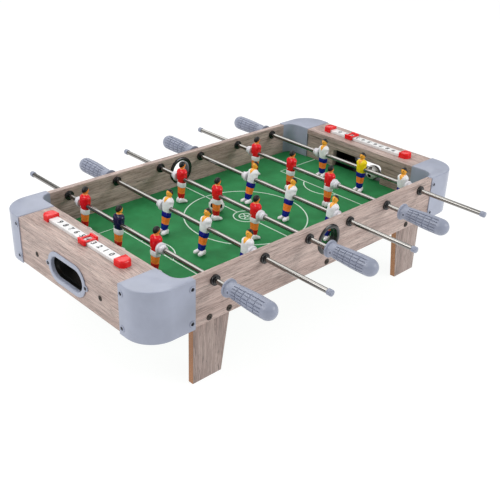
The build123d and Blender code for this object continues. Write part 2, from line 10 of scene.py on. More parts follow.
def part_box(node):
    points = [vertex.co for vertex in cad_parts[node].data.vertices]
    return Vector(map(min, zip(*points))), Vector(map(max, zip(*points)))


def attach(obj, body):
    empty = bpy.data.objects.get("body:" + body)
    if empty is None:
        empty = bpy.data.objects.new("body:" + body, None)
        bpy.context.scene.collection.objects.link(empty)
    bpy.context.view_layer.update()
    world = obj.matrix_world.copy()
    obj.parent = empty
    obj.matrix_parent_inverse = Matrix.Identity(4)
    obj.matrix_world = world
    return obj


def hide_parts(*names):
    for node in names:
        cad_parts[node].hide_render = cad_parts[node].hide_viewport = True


# Tabletop foosball. Metres, +Z up, in the frame's own axes: X runs from the left goal to
# the right goal, Y across the table towards the far side. MM turns millimetres into metres.
MM = 0.001
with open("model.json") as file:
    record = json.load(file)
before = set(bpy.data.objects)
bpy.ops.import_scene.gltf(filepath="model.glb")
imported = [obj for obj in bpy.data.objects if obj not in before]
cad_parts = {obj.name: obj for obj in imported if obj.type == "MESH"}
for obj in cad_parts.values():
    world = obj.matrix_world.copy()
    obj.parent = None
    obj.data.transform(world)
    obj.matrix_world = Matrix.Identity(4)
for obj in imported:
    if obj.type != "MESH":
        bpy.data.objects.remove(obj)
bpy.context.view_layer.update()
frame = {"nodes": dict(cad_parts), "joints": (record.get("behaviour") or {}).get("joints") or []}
nodes = frame["nodes"]
SIDES = (-1, 1)
SIDE_NAMES = {-1: "near", 1: "far"}
END_NAMES = {-1: "left", 1: "right"}


# ---------------------------------------- places from the frame

def middle_of(node):
    """The middle of a CAD node's box."""
    low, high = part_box(node)
    return (low + high) / 2


panel_low, panel_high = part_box("side_panel_far")
UNDERSIDE = panel_low.z
PANEL_TOP = panel_high.z
SIDE_Y = panel_high.y
INNER_Y = panel_low.y
BOARD = SIDE_Y - INNER_Y
SIDE_MIDDLE_Y = INNER_Y + BOARD / 2
SIDE_PANEL_END = panel_high.x
END_X, END_PANEL_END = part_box("end_panel_right")[1].xy
FIELD_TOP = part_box("playfield")[1].z
GOAL_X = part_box("goal_panel_right")[0].x
shelf_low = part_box("shelf_right")[0]
SHELF_X = shelf_low.x
cap_low, cap_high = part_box("corner_cap_far_right")
CAP_X, CAP_ACROSS_Y = cap_low.xy        # where a cap ends along the side and the end panel
ENTRY_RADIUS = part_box("ball_entry_rings")[1].x
ENTRY_HEIGHT = middle_of("ball_entry_rings").z
RETURN_HEIGHT = middle_of("return_frames").z
RETURN_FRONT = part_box("return_frames")[1].x
STRIP_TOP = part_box("score_strips")[1].z
SCORE_X = middle_of("score_marker_right").x
ROD_CENTRES = [Vector(joint["pos_m"]) for joint in frame["joints"] if joint["name"].endswith("_spin")]
ROD_COUNT = len(ROD_CENTRES)
ROD_HEIGHT = ROD_CENTRES[0].z
rod_low, rod_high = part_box("rod_1")
ROD_RADIUS = (rod_high.z - rod_low.z) / 2

# Sizes that repeat the design's own
CAP_ROUND = 42 * MM                     # panels' corner under a cap
CAP_HOLLOW_ROUND = 20 * MM
CAP_SCREW_X = END_X - 74.3 * MM
CAP_SCREW_Y = SIDE_Y - 50.2 * MM
CAP_SCREW_HEIGHTS = (UNDERSIDE + 9.8 * MM, UNDERSIDE + 62.9 * MM)
EAR_Y = 48.5 * MM                       # screw of a return frame
EAR_HEIGHT = UNDERSIDE + 32 * MM
BALL_RADIUS = 13.5 * MM
FIGURE_PITCH = 90.5 * MM
HANDLE_END = 330.5 * MM
HANDLE_LENGTH = 86 * MM
ROD_CAP_END = 253 * MM
REST_TILT = (5.0, 11.5, 3.0, 15.0, 3.5, 1.0)
BUSH_BORE = ROD_RADIUS / MM + 0.06      # millimetres


# ---------------------------------------- shader nodes

materials = {}


def fill_ramp(ramp, stops):
    """Sets a ramp's stops, each (position, grey or colour)."""
    while len(ramp.elements) < len(stops):
        ramp.elements.new(0.5)
    for element, (position, shade) in zip(ramp.elements, stops):
        element.position = position
        element.color = (*shade[:3], 1) if isinstance(shade, tuple) else (shade, shade, shade, 1)


class Shader:
    """A short way to write a node material."""

    def __init__(self, name):
        self.material = materials[name] = bpy.data.materials.new(name)
        self.material.use_nodes = True
        self.tree = self.material.node_tree
        self.surface = self.tree.nodes["Principled BSDF"]
        self.place = self.add("TexCoord", {}, "Object")

    def put(self, socket, value):
        if isinstance(value, bpy.types.NodeSocket):
            self.tree.links.new(value, socket)
        else:
            socket.default_value = value

    def add(self, kind, inputs, output, **settings):
        """Adds a node and gives one of its outputs."""
        node = self.tree.nodes.new("ShaderNode" + kind)
        for key, value in settings.items():
            setattr(node, key, value)
        for key, value in inputs.items():
            self.put(node.inputs[key], value)
        return node.outputs[output]

    def scaled(self, scale, shift=(0, 0, 0)):
        """Object coordinates times a scale for each axis."""
        return self.add("Mapping", {"Vector": self.place, "Scale": scale, "Location": shift}, "Vector")

    def noise(self, vector, scale=1.0, detail=4.0, rough=0.55, distortion=0.0):
        return self.add("TexNoise", {"Vector": vector, "Scale": scale, "Detail": detail,
                                     "Roughness": rough, "Distortion": distortion}, "Fac")

    def ramp(self, value, stops):
        node = self.tree.nodes.new("ShaderNodeValToRGB")
        self.put(node.inputs["Fac"], value)
        fill_ramp(node.color_ramp, stops)
        return node.outputs["Color"]

    def mix(self, share, one, other, mode="MIX"):
        return self.add("Mix", {"Factor": share, 6: one, 7: other}, 2, data_type="RGBA", blend_type=mode)

    def maths(self, operation, one, other):
        return self.add("Math", {0: one, 1: other}, 0, operation=operation)

    def clouded(self, pattern, low, high, base, share):
        """The base colour, down to a share of it where the pattern is low."""
        dark = (*(channel * share for channel in base[:3]), 1.0)
        return self.mix(self.ramp(pattern, [(low, 0.0), (high, 1.0)]), dark, base)

    def bump(self, height, depth, strength):
        normal = self.add("Bump", {"Strength": strength, "Distance": depth, "Height": height}, "Normal")
        self.put(self.surface.inputs["Normal"], normal)

    def set(self, **values):
        names = {"colour": "Base Color", "rough": "Roughness", "metal": "Metallic",
                 "coat": "Coat Weight", "coat_rough": "Coat Roughness", "gloss": "Specular IOR Level",
                 "glow": "Emission Color", "glow_strength": "Emission Strength"}
        for key, value in values.items():
            self.put(self.surface.inputs[names[key]], value)


def colour(red, green, blue):
    """A colour named by its screen values, 0 to 255, in linear light."""
    def linear(value):
        share = value / 255
        return share / 12.92 if share <= 0.04045 else ((share + 0.055) / 1.055) ** 2.4
    return (linear(red), linear(green), linear(blue), 1.0)


def along(axis, length, across):
    """A scale that stretches a pattern along one axis: features are length by across, in metres."""
    scale = [1 / across] * 3
    scale[axis] = 1 / length
    return tuple(scale)


# ---------------------------------------- materials

def oak(name, axis, shift, core, shade=1.0):
    """Printed weathered oak with its grain along an axis. core lists the axes whose faces are
    raw board: 2 means faces that look down, 0 and 1 both faces across that axis. shade below 1
    darkens the whole colour, as painted shade."""
    s = Shader(name)
    place = (shift, shift * 0.7, shift * 1.3)

    def grain(length, across, **look):
        return s.noise(s.scaled(along(axis, length, across), place), **look)

    wide = grain(0.14, 0.011, detail=3, distortion=0.5)
    tone = s.ramp(wide, [(0.30, colour(152, 132, 124)), (0.50, colour(172, 152, 144)),
                         (0.72, colour(187, 168, 159))])
    band = grain(0.050, 0.0019, rough=0.6, distortion=0.7)
    tone = s.mix(0.75, tone, s.ramp(band, [(0.36, 0.36), (0.50, 0.60), (0.62, 0.76)]), "OVERLAY")
    fine = grain(0.020, 0.0010, rough=0.7)
    tone = s.mix(0.80, tone, s.ramp(fine, [(0.38, 0.52), (0.50, 1.0)]), "MULTIPLY")
    dash = grain(0.014, 0.0013, detail=2, rough=0.5, distortion=0.4)
    tone = s.mix(1.0, tone, s.ramp(dash, [(0.30, 0.42), (0.37, 1.0)]), "MULTIPLY")
    crack = grain(0.055, 0.0036, detail=2, rough=0.4, distortion=2.2)
    cracked = s.mix(1.0, tone, s.ramp(crack, [(0.480, 1.0), (0.500, 0.50), (0.520, 1.0)]), "MULTIPLY")
    patch = grain(0.12, 0.03, detail=1)
    tone = s.mix(s.ramp(patch, [(0.45, 0.0), (0.60, 1.0)]), tone, cracked)
    pink = grain(0.05, 0.012, detail=2)
    tone = s.mix(s.ramp(pink, [(0.45, 0.0), (0.75, 0.30)]), tone, colour(178, 152, 143))
    # painted shade: a shade below 1 darkens the whole colour
    tone = s.mix(1.0, tone, (shade, shade, shade, 1.0), "MULTIPLY")
    tone = s.mix(core_share(s, core), tone, raw_board(s))
    s.bump(s.maths("ADD", fine, s.maths("MULTIPLY", band, 0.5)), 0.00012, 0.55)
    s.set(colour=tone, rough=s.ramp(band, [(0.3, 0.36), (0.7, 0.50)]), gloss=0.45)


def core_share(s, core):
    """1 on the faces that are raw board."""
    normal = s.tree.nodes.new("ShaderNodeSeparateXYZ")
    s.put(normal.inputs[0], s.add("NewGeometry", {}, "Normal"))
    share = 0.0
    for axis in core:
        part = normal.outputs[axis]
        part = s.maths("MULTIPLY", part, -1.0) if axis == 2 else s.maths("ABSOLUTE", part, 0.0)
        share = s.maths("MAXIMUM", share, s.maths("GREATER_THAN", part, 0.8))
    return share


def raw_board(s):
    speck = s.noise(s.place, scale=900, detail=3)
    return s.ramp(speck, [(0.30, colour(134, 84, 50)), (0.70, colour(196, 138, 92))])


def raw_board_material():
    s = Shader("raw_board")
    s.bump(s.noise(s.place, scale=700), 0.0002, 0.6)
    s.set(colour=raw_board(s), rough=0.85)


def moulded(name, base, rough=0.42, grain=0.35, coat=0.0):
    """Satin moulded plastic with a fine leathery skin and slight handling marks."""
    s = Shader(name)
    shade = s.clouded(s.noise(s.place, scale=28, detail=3), 0.35, 0.65, base, 0.90)
    s.bump(s.noise(s.place, scale=2600, detail=2), 0.00004, grain)
    marks = s.noise(s.place, scale=70, detail=2)
    s.set(colour=shade, rough=s.ramp(marks, [(0.35, rough), (0.65, rough + 0.05)]), coat=coat)


def glossy(name, base, rough, coat=0.12):
    """Painted or self-coloured glossy plastic, a little uneven."""
    s = Shader(name)
    shade = s.clouded(s.noise(s.place, scale=170, detail=2), 0.30, 0.60, base, 0.86)
    s.bump(s.noise(s.place, scale=420, detail=2), 0.00008, 0.28)
    roughness = s.ramp(s.noise(s.place, scale=240, detail=3), [(0.35, rough), (0.70, rough + 0.14)])
    s.set(colour=shade, rough=roughness, coat=coat, coat_rough=0.12, gloss=0.42)


def steel(name, base, rough):
    """Drawn or turned steel, with faint lines."""
    s = Shader(name)
    lines = s.noise(s.scaled((1600, 3, 3)), detail=2, rough=0.6)
    s.set(colour=s.clouded(lines, 0.35, 0.65, base, 0.90), rough=rough, metal=1.0)


def field_green():
    """The printed pitch: mown stripes and a slight mottle under a satin film."""
    s = Shader("field_green")
    mottle = s.noise(s.place, scale=34, detail=5, rough=0.6)
    shade = s.ramp(mottle, [(0.30, colour(34, 116, 63)), (0.50, colour(42, 128, 73)),
                            (0.72, colour(51, 140, 83))])
    blades = s.noise(s.scaled((900, 2600, 900)), detail=2)
    shade = s.mix(0.5, shade, s.ramp(blades, [(0.35, 0.88), (0.60, 1.0)]), "MULTIPLY")
    s.bump(blades, 0.00003, 0.35)
    s.set(colour=shade, rough=s.ramp(mottle, [(0.3, 0.62), (0.7, 0.72)]), gloss=0.2)


def make_materials():
    oak("oak_along_x", 0, 0.0, (2,))
    oak("oak_along_x_far", 0, 3.1, (2,))
    oak("oak_along_y", 1, 1.7, (2,))
    oak("oak_along_y_right", 1, 5.3, (2,))
    # the legs' oak is darkened to 0.72: painted shade, for the shade under the table top
    oak("oak_leg", 2, 2.3, (0, 2), shade=0.72)
    raw_board_material()
    field_green()
    moulded("cap_plastic", colour(159, 165, 183), rough=0.32, grain=0.15, coat=0.2)
    moulded("grip_plastic", colour(146, 152, 170), rough=0.34)
    moulded("bumper_rubber", colour(230, 228, 234), rough=0.50, grain=0.6)
    moulded("bumper_ring", colour(40, 40, 42), rough=0.6)
    moulded("black_plastic", colour(17, 17, 19), rough=0.24, grain=0.2, coat=0.3)
    moulded("tray_plastic", colour(16, 17, 17), rough=0.30, grain=0.4)
    steel("rod_chrome", (0.29, 0.28, 0.265, 1.0), 0.14)
    steel("blackened_bolt", (0.07, 0.06, 0.052, 1.0), 0.34)
    steel("washer_steel", (0.06, 0.052, 0.046, 1.0), 0.34)
    steel("dark_screw", (0.035, 0.035, 0.04, 1.0), 0.40)
    glossy("score_red", colour(236, 8, 18), 0.10)
    glossy("score_white", colour(236, 236, 236), 0.30, coat=0.1)
    glossy("printed_black", colour(24, 24, 26), 0.40, coat=0.0)
    glossy("field_line", colour(212, 232, 218), 0.36, coat=0.0)
    glossy("ball_white", colour(232, 232, 230), 0.22)
    glossy("ball_black", colour(20, 20, 22), 0.22)
    glossy("hair_black", colour(8, 7, 8), 0.36, coat=0.0)
    glossy("skin_orange", colour(255, 150, 66), 0.22)
    glossy("skin_amber", colour(255, 178, 54), 0.22)
    glossy("thigh_orange", colour(255, 134, 50), 0.22)
    glossy("shirt_red", colour(240, 16, 32), 0.14)
    glossy("shirt_navy", colour(22, 22, 66), 0.14)
    glossy("shirt_white", colour(248, 249, 252), 0.24)
    glossy("shirt_yellow", colour(255, 226, 14), 0.22)
    glossy("shorts_white", colour(240, 237, 240), 0.26)
    glossy("kit_blue", colour(6, 12, 132), 0.18)
    glossy("socks_red", colour(200, 6, 16), 0.18)
    glossy("boots_white", colour(240, 238, 240), 0.26)


# ---------------------------------------- mesh parts
# A part is (vertices, faces). Most are made about Z and then placed by a matrix.

IDENTITY = Matrix.Identity(4)
TO_XZ = Matrix(((1, 0, 0, 0), (0, 0, -1, 0), (0, 1, 0, 0), (0, 0, 0, 1)))    # local Z to -Y
TO_YZ = Matrix(((0, 0, 1, 0), (1, 0, 0, 0), (0, 1, 0, 0), (0, 0, 0, 1)))     # local Z to +X


def turn_by(angle, axis):
    return Matrix.Rotation(angle, 4, axis)


def outward(axis, side):
    """Turns local Z to +X, -X, +Y or -Y."""
    return turn_by(math.radians(90 * side), "Y") if axis == 0 else turn_by(math.radians(-90 * side), "X")


def at(x, y, z):
    return Matrix.Translation((x, y, z))


def transformed(part, matrix):
    vertices, faces = part
    return [tuple(matrix @ Vector(v)) for v in vertices], faces


def skin(rings, low_end=True, high_end=True):
    """A part through rings of equal length, with its ends filled or left open."""
    count = len(rings[0])
    faces = []
    for row in range(len(rings) - 1):
        for i in range(count):
            j = (i + 1) % count
            faces.append((row * count + i, row * count + j, (row + 1) * count + j, (row + 1) * count + i))
    if low_end:
        faces.append(tuple(reversed(range(count))))
    if high_end:
        faces.append(tuple(range((len(rings) - 1) * count, len(rings) * count)))
    return [point for ring in rings for point in ring], faces


def arc(cx, cy, radius, start, end, count=12):
    """Points on an arc, from one angle to another in degrees."""
    angles = [math.radians(start + (end - start) * i / count) for i in range(count + 1)]
    return [(cx + radius * math.cos(a), cy + radius * math.sin(a)) for a in angles]


def circle(cx, cy, radius, count=48):
    return arc(cx, cy, radius, 0, 360, count)[:-1]


def lathe(profile, count, closed=False):
    """A part turned about Z from (radius, height) points. closed joins the last to the first."""
    if closed:
        profile = profile + profile[:1]
    return skin([[(x, y, z) for x, y in circle(0, 0, r, count)] for r, z in profile], not closed, not closed)


def ring_part(profile, count):
    """A closed ring turned about Z, from a profile in millimetres."""
    return lathe([(r * MM, z * MM) for r, z in profile], count, closed=True)


def rounded_profile(points, radius, steps=3):
    """A closed profile with each corner rounded by up to the radius."""
    result = []
    for i, corner in enumerate(points):
        here = Vector(corner)
        before = Vector(points[i - 1]) - here
        after = Vector(points[(i + 1) % len(points)]) - here
        reach = min(radius, before.length * 0.45, after.length * 0.45)
        start = here + before.normalized() * reach
        end = here + after.normalized() * reach
        for k in range(steps + 1):
            t = k / steps
            result.append(tuple(start * (1 - t) ** 2 + here * 2 * t * (1 - t) + end * t ** 2))
    return result


def rectangle(x_low, y_low, x_high, y_high, radius=0.0):
    if not radius:
        return [(x_low, y_low), (x_high, y_low), (x_high, y_high), (x_low, y_high)]
    corners = ((x_high - radius, y_low + radius, -90), (x_high - radius, y_high - radius, 0),
               (x_low + radius, y_high - radius, 90), (x_low + radius, y_low + radius, 180))
    return [p for x, y, a in corners for p in arc(x, y, radius, a, a + 90, 6)]


def stadium(length, height, cx, cy):
    """A slot outline with round ends, its length along the first axis."""
    half = (length - height) / 2
    right = arc(cx + half, cy, height / 2, -90, 90, 20)
    return right + arc(cx - half, cy, height / 2, 90, 270, 20)


def curve_part(curve):
    """A curve or a text, turned into a part."""
    holder = bpy.data.objects.new("curve", curve)
    bpy.context.scene.collection.objects.link(holder)
    shape = holder.evaluated_get(bpy.context.evaluated_depsgraph_get())
    mesh = bpy.data.meshes.new_from_object(shape)
    bpy.data.objects.remove(holder)
    part = [tuple(v.co) for v in mesh.vertices], [tuple(f.vertices) for f in mesh.polygons]
    bpy.data.meshes.remove(mesh)
    return part


def slab(outline, one, other, bevel, holes=()):
    """A plate in the XY plane between two heights, its edges rounded, also round its holes."""
    curve = bpy.data.curves.new("slab", "CURVE")
    curve.dimensions = "2D"
    curve.fill_mode = "BOTH"
    curve.extrude = abs(other - one) / 2 - bevel
    curve.bevel_depth = bevel
    curve.bevel_resolution = 3
    curve.offset = -bevel
    for points in [outline] + [hole[::-1] for hole in holes]:
        spline = curve.splines.new("POLY")
        spline.points.add(len(points) - 1)
        for point, (x, y) in zip(spline.points, points):
            point.co = (x, y, 0, 1)
        spline.use_cyclic_u = True
    return transformed(curve_part(curve), at(0, 0, (one + other) / 2))


def make_mesh(name, parts, angle=32):
    """One mesh from parts, each (part, material) or (part, material, matrix)."""
    points, faces, face_materials, used = [], [], [], []
    for (vertices, polygons), material, *matrix in parts:
        matrix = matrix[0] if matrix else IDENTITY
        if material not in used:
            used.append(material)
        start = len(points)
        order = -1 if matrix.determinant() < 0 else 1
        points += [tuple(matrix @ Vector(v)) for v in vertices]
        faces += [[start + i for i in polygon][::order] for polygon in polygons]
        face_materials += [used.index(material)] * len(polygons)
    mesh = bpy.data.meshes.new(name)
    mesh.from_pydata(points, [], faces)
    for material in used:
        mesh.materials.append(materials[material])
    mesh.polygons.foreach_set("material_index", face_materials)
    mesh.validate()
    weld(mesh)
    mesh.shade_smooth()
    mesh.set_sharp_from_angle(angle=math.radians(angle))
    return mesh


def weld(mesh):
    """Joins points that coincide and turns every face outwards."""
    bm = bmesh.new()
    bm.from_mesh(mesh)
    bmesh.ops.remove_doubles(bm, verts=bm.verts, dist=1e-7)
    bmesh.ops.recalc_face_normals(bm, faces=bm.faces)
    bm.to_mesh(mesh)
    bm.free()


def place(name, mesh, body, slot, replaced=(), matrix=IDENTITY):
    """Puts a mesh in the scene as a piece that rides on a body."""
    piece = bpy.data.objects.new(name, mesh)
    bpy.context.scene.collection.objects.link(piece)
    piece.matrix_world = matrix
    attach(piece, body)
    if replaced:
        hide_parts(*replaced)


def build(name, parts, slot, replaced=(), body="table", matrix=IDENTITY, angle=32):
    place(name, make_mesh(name, parts, angle), body, slot, replaced, matrix)


def paint(node, material):
    """Gives a CAD node that stays its finished material."""
    nodes[node].data.materials.clear()
    nodes[node].data.materials.append(materials[material])


# ---------------------------------------- boards

EDGE = 0.7 * MM                         # rounding of a laminated board's edge
FINE_EDGE = 0.5 * MM
OAK_X = {-1: "oak_along_x", 1: "oak_along_x_far"}
OAK_Y = {-1: "oak_along_y", 1: "oak_along_y_right"}
RETURN_MOUTH = stadium(80 * MM, 34 * MM, 0, RETURN_HEIGHT)


def build_board(node, part, material, matrix=IDENTITY):
    build(node + "_board", [(part, material, matrix)], "oak_board", [node])


def build_side_panel(side):
    holes = [circle(centre.x, ROD_HEIGHT, 6 * MM, 24) for centre in ROD_CENTRES]
    holes.append(circle(0, ENTRY_HEIGHT, 20.5 * MM))
    outline = rectangle(-SIDE_PANEL_END, UNDERSIDE, SIDE_PANEL_END, PANEL_TOP)
    part = slab(outline, -side * SIDE_Y, -side * INNER_Y, EDGE, holes)
    build_board("side_panel_" + SIDE_NAMES[side], part, OAK_X[side], TO_XZ)


def build_end_panel(end):
    outline = rectangle(-END_PANEL_END, UNDERSIDE, END_PANEL_END, PANEL_TOP)
    opening = stadium(84 * MM, 38 * MM, 0, RETURN_HEIGHT)
    part = slab(outline, end * END_X, end * (END_X - BOARD), EDGE, [opening])
    build_board("end_panel_" + END_NAMES[end], part, OAK_Y[end], TO_YZ)


def build_goal_panel(end):
    """The panel with the goal mouth. The mouth is open to the field below."""
    name = "goal_panel_" + END_NAMES[end]
    low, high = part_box(name)
    half, height, corner = 58 * MM, 35 * MM, 7 * MM
    top = low.z + height
    outline = [(-high.y, low.z), (-half, low.z)]
    outline += arc(-half + corner, top - corner, corner, 180, 90, 6)
    outline += arc(half - corner, top - corner, corner, 90, 0, 6)
    outline += [(half, low.z), (high.y, low.z), (high.y, high.z), (-high.y, high.z)]
    build_board(name, slab(outline, low.x, high.x, FINE_EDGE), OAK_Y[end], TO_YZ)


def build_shelf(end):
    """The board over an end. Its narrower tongues lie under the caps."""
    name = "shelf_" + END_NAMES[end]
    low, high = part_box(name)
    half = [(SHELF_X, CAP_ACROSS_Y), (GOAL_X, CAP_ACROSS_Y), (GOAL_X, high.y), (END_X - BOARD, high.y)]
    outline = [(end * x, -y) for x, y in half] + [(end * x, y) for x, y in reversed(half)]
    build_board(name, slab(outline[::end], low.z, high.z, FINE_EDGE), OAK_Y[end])


def build_leg(end, side):
    name = "leg_" + SIDE_NAMES[side] + "_" + END_NAMES[end]
    low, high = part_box(name)
    outer, inner = (high.x, low.x) if end > 0 else (low.x, high.x)
    sole = outer - end * 53 * MM
    outline = [(outer, low.z), (outer, high.z), (inner, high.z), (inner, UNDERSIDE), (sole, low.z)]
    build_board(name, slab(outline[::end], -high.y, -low.y, EDGE), "oak_leg", TO_XZ)


# ---------------------------------------- corner caps

CAP_STEPS = 6                           # facets in a rounded edge
CAP_EDGE = 2.0 * MM
CAP_SKIN = 1.5 * MM
CAP_LIP = 0.5 * MM                      # break of the lower edge


def cap_loop():
    """A cap's outline in the +X, +Y corner, anticlockwise, as (x, y, height of its lower edge)."""
    skirt = cap_low.z
    x_out, y_out = cap_high.x, cap_high.y
    radius = CAP_ROUND + CAP_SKIN
    hollow = CAP_HOLLOW_ROUND
    loop = [(x_out, CAP_ACROSS_Y, skirt)]
    loop += [(x, y, skirt) for x, y in arc(x_out - radius, y_out - radius, radius, 0, 90, 28)]
    loop += [(CAP_X, y_out, skirt), (CAP_X, INNER_Y, FIELD_TOP)]
    loop += [(x, y, FIELD_TOP) for x, y in arc(SHELF_X - hollow, INNER_Y - hollow, hollow, 90, 0, 16)]
    loop += [(SHELF_X, CAP_ACROSS_Y, FIELD_TOP)]
    return [p for i, p in enumerate(loop) if math.dist(p[:2], loop[i - 1][:2]) > 1e-6]


def inset(loop, distance):
    """The loop moved inwards by a distance, corners mitred."""
    result = []
    for i, point in enumerate(loop):
        here = Vector(point[:2])
        before = (here - Vector(loop[i - 1][:2])).normalized()
        after = (Vector(loop[(i + 1) % len(loop)][:2]) - here).normalized()
        normal_a = Vector((-before.y, before.x))
        normal_b = Vector((-after.y, after.x))
        mitre = (normal_a + normal_b).normalized()
        moved = here + mitre * distance / max(mitre.dot(normal_a), 0.5)
        result.append((moved.x, moved.y))
    return result


def cap_part():
    """A cap's shell in the +X, +Y corner: rounded top edge, skirt, and the hollow wall inside."""
    loop = cap_loop()
    rings = []
    for step in range(CAP_STEPS + 1):
        turn = math.pi / 2 * step / CAP_STEPS
        height = cap_high.z - CAP_EDGE * (1 - math.cos(turn))
        rings.append([(x, y, height) for x, y in inset(loop, CAP_EDGE * (1 - math.sin(turn)))])
    rings.append([(x, y, low + CAP_LIP) for x, y, low in loop])
    for distance in (CAP_LIP, CAP_SKIN):
        rings.append([(x, y, p[2]) for (x, y), p in zip(inset(loop, distance), loop)])
    rings.append([(x, y, PANEL_TOP) for x, y in inset(loop, CAP_SKIN)])
    return skin([ring[::-1] for ring in rings])


def cap_screw_seats(end, side):
    """The four screw seats of a cap, each with its height's number."""
    for number, height in enumerate(CAP_SCREW_HEIGHTS):
        yield number, at(end * CAP_SCREW_X, side * cap_high.y, height) @ outward(1, side)
        yield number, at(end * cap_high.x, side * CAP_SCREW_Y, height) @ outward(0, end)


def build_caps():
    """Each cap's shell, with a raised seat round each trim screw."""
    shell = cap_part()
    boss = ring_part(rounded_profile([(2.7, -0.3), (5.0, -0.3), (4.5, 1.1), (2.9, 1.1)], 0.35), 32)
    for side in SIDES:
        for end in SIDES:
            name = "corner_cap_" + SIDE_NAMES[side] + "_" + END_NAMES[end]
            parts = [(shell, "cap_plastic", Matrix.Diagonal((end, side, 1, 1)))]
            parts += [(boss, "cap_plastic", seat) for _, seat in cap_screw_seats(end, side)]
            build(name + "_shell", parts, "grey_plastic", [name])


# ---------------------------------------- fasteners

def screw_head(radius, height, cross, recess):
    """A domed head with a cross recess, its seat at Z = 0. Sizes are in millimetres."""
    rows, turns = 14, 64
    rings = []
    for row in range(rows + 1):
        share = row / rows
        dome = height * math.sqrt(1 - (0.86 * share) ** 2)
        ring = []
        for x, y in circle(0, 0, radius * share, turns):
            in_cross = min(abs(x), abs(y)) < cross / 2 and share < 0.62
            ring.append((x, y, dome - recess if in_cross else dome))
        rings.append(ring)
    rings.append([(x, y, 0) for x, y in circle(0, 0, radius, turns)])
    return transformed(skin(rings, low_end=False), Matrix.Scale(MM, 4))


def washer_part(inner, outer, height):
    """A flat washer. Sizes are in millimetres."""
    return ring_part(rounded_profile([(inner, 0), (outer, 0), (outer, height), (inner, height)], 0.25), 40)


def build_bolts():
    height = UNDERSIDE + 7.2 * MM
    head = screw_head(3.5, 1.9, 0.9, 0.9)
    small = screw_head(3.6, 1.1, 0.9, 0.7)
    washer = washer_part(2.2, 5.0, 0.7)
    collar = washer_part(3.4, 4.2, 0.35)
    parts = []
    for side in SIDES:
        for x in [0.0] + [end * (END_X - d) for end in SIDES for d in (105.4 * MM, 141.5 * MM)]:
            seat = at(x, side * SIDE_Y, height) @ outward(1, side) @ turn_by(x * 30, "Z")
            parts += [(washer, "washer_steel", seat), (head, "blackened_bolt", seat)]
        for end in SIDES:
            seat = at(end * END_X, side * 81 * MM, UNDERSIDE + 31.5 * MM) @ outward(0, end)
            parts += [(small, "blackened_bolt", seat @ turn_by(0.4 + side * end, "Z")),
                      (collar, "washer_steel", seat)]
    build("panel_bolt_heads", parts, "fastener_steel", ["panel_bolts"])


def build_trim_screws():
    head = screw_head(2.6, 0.65, 0.75, 0.5)
    parts = []
    for end in SIDES:
        for side in SIDES:
            for number, seat in cap_screw_seats(end, side):
                parts.append((head, "dark_screw", seat @ turn_by(0.3 + number + end * 0.5, "Z")))
            seat = at(end * (RETURN_FRONT - 0.15 * MM), side * EAR_Y, EAR_HEIGHT) @ outward(0, end)
            parts.append((head, "dark_screw", seat @ turn_by(0.7 * side, "Z")))
    build("trim_screw_heads", parts, "fastener_steel", ["trim_screws"])


# ---------------------------------------- rings, frames and trays

HALF_BOARD = BOARD / 2 / MM             # millimetres
OUTER_FLANGE = 1.3                      # a bush's flange outside, as a share of the one inside


def build_bushings():
    """Each bush: stepped flanges on both faces of the panel, with a collar round the rod."""
    flange = [(BUSH_BORE, 4.0), (5.2, 4.0), (5.6, 3.7), (5.7, 2.5), (6.6, 2.3), (7.0, 2.9),
              (7.6, 2.8), (8.0, 2.2), (8.0, 0.0), (6.0, 0.0)]
    outer = [(r, HALF_BOARD + h * OUTER_FLANGE) for r, h in flange]
    bush = ring_part(outer + [(r, -HALF_BOARD - h) for r, h in reversed(flange)], 40)
    parts = [(bush, "black_plastic", at(centre.x, side * SIDE_MIDDLE_Y, ROD_HEIGHT) @ outward(1, side))
             for side in SIDES for centre in ROD_CENTRES]
    build("rod_bushing_set", parts, "black_plastic", ["rod_bushings"], angle=28)


def build_entry_rings():
    """The ball entry: a rolled rim on both faces and a ribbed bore."""
    outside = ENTRY_RADIUS / MM
    rim = [(18.3, 1.2), (18.8, 2.1), (19.8, 2.5), (22.0, 2.3), (outside - 0.8, 1.4), (outside, 0.6),
           (outside, 0.0), (20.4, 0.0)]
    outer = [(r, HALF_BOARD + h) for r, h in rim]
    bore = [(18.3, -0.6), (18.7, -0.3), (18.7, 0.3), (18.3, 0.6)]
    ring = ring_part(bore + outer + [(r, -h) for r, h in reversed(outer)], 72)
    parts = [(ring, "black_plastic", at(0, side * SIDE_MIDDLE_Y, ENTRY_HEIGHT) @ outward(1, side))
             for side in SIDES]
    build("ball_entry_ring_pair", parts, "black_plastic", ["ball_entry_rings"], angle=28)


def build_return_frames():
    """The rim, its two ears and the sleeve of each ball-return opening."""
    rim = stadium(95 * MM, 50 * MM, 0, RETURN_HEIGHT)
    hole = stadium(81 * MM, 35 * MM, 0, RETURN_HEIGHT)
    around = stadium(83.8 * MM, 37.8 * MM, 0, RETURN_HEIGHT)
    deep = END_X - 4 * MM
    parts = []
    for end in SIDES:
        face, front = end * END_X, end * RETURN_FRONT
        parts.append((slab(rim, face, front, 0.9 * MM, [hole]), "cap_plastic", TO_YZ))
        for side in SIDES:
            ear = circle(side * EAR_Y, EAR_HEIGHT, 4.5 * MM, 32)
            parts.append((slab(ear, face, front, 0.7 * MM), "cap_plastic", TO_YZ))
        lip = slab(around, end * deep, end * (RETURN_FRONT - 0.6 * MM), 0.3 * MM, [RETURN_MOUTH])
        sleeve = slab(around, end * (END_X - BOARD), end * deep, 0.2 * MM, [RETURN_MOUTH])
        parts += [(lip, "cap_plastic", TO_YZ), (sleeve, "tray_plastic", TO_YZ)]
    build("return_frame_pair", parts, "grey_plastic", ["return_frames"], angle=28)


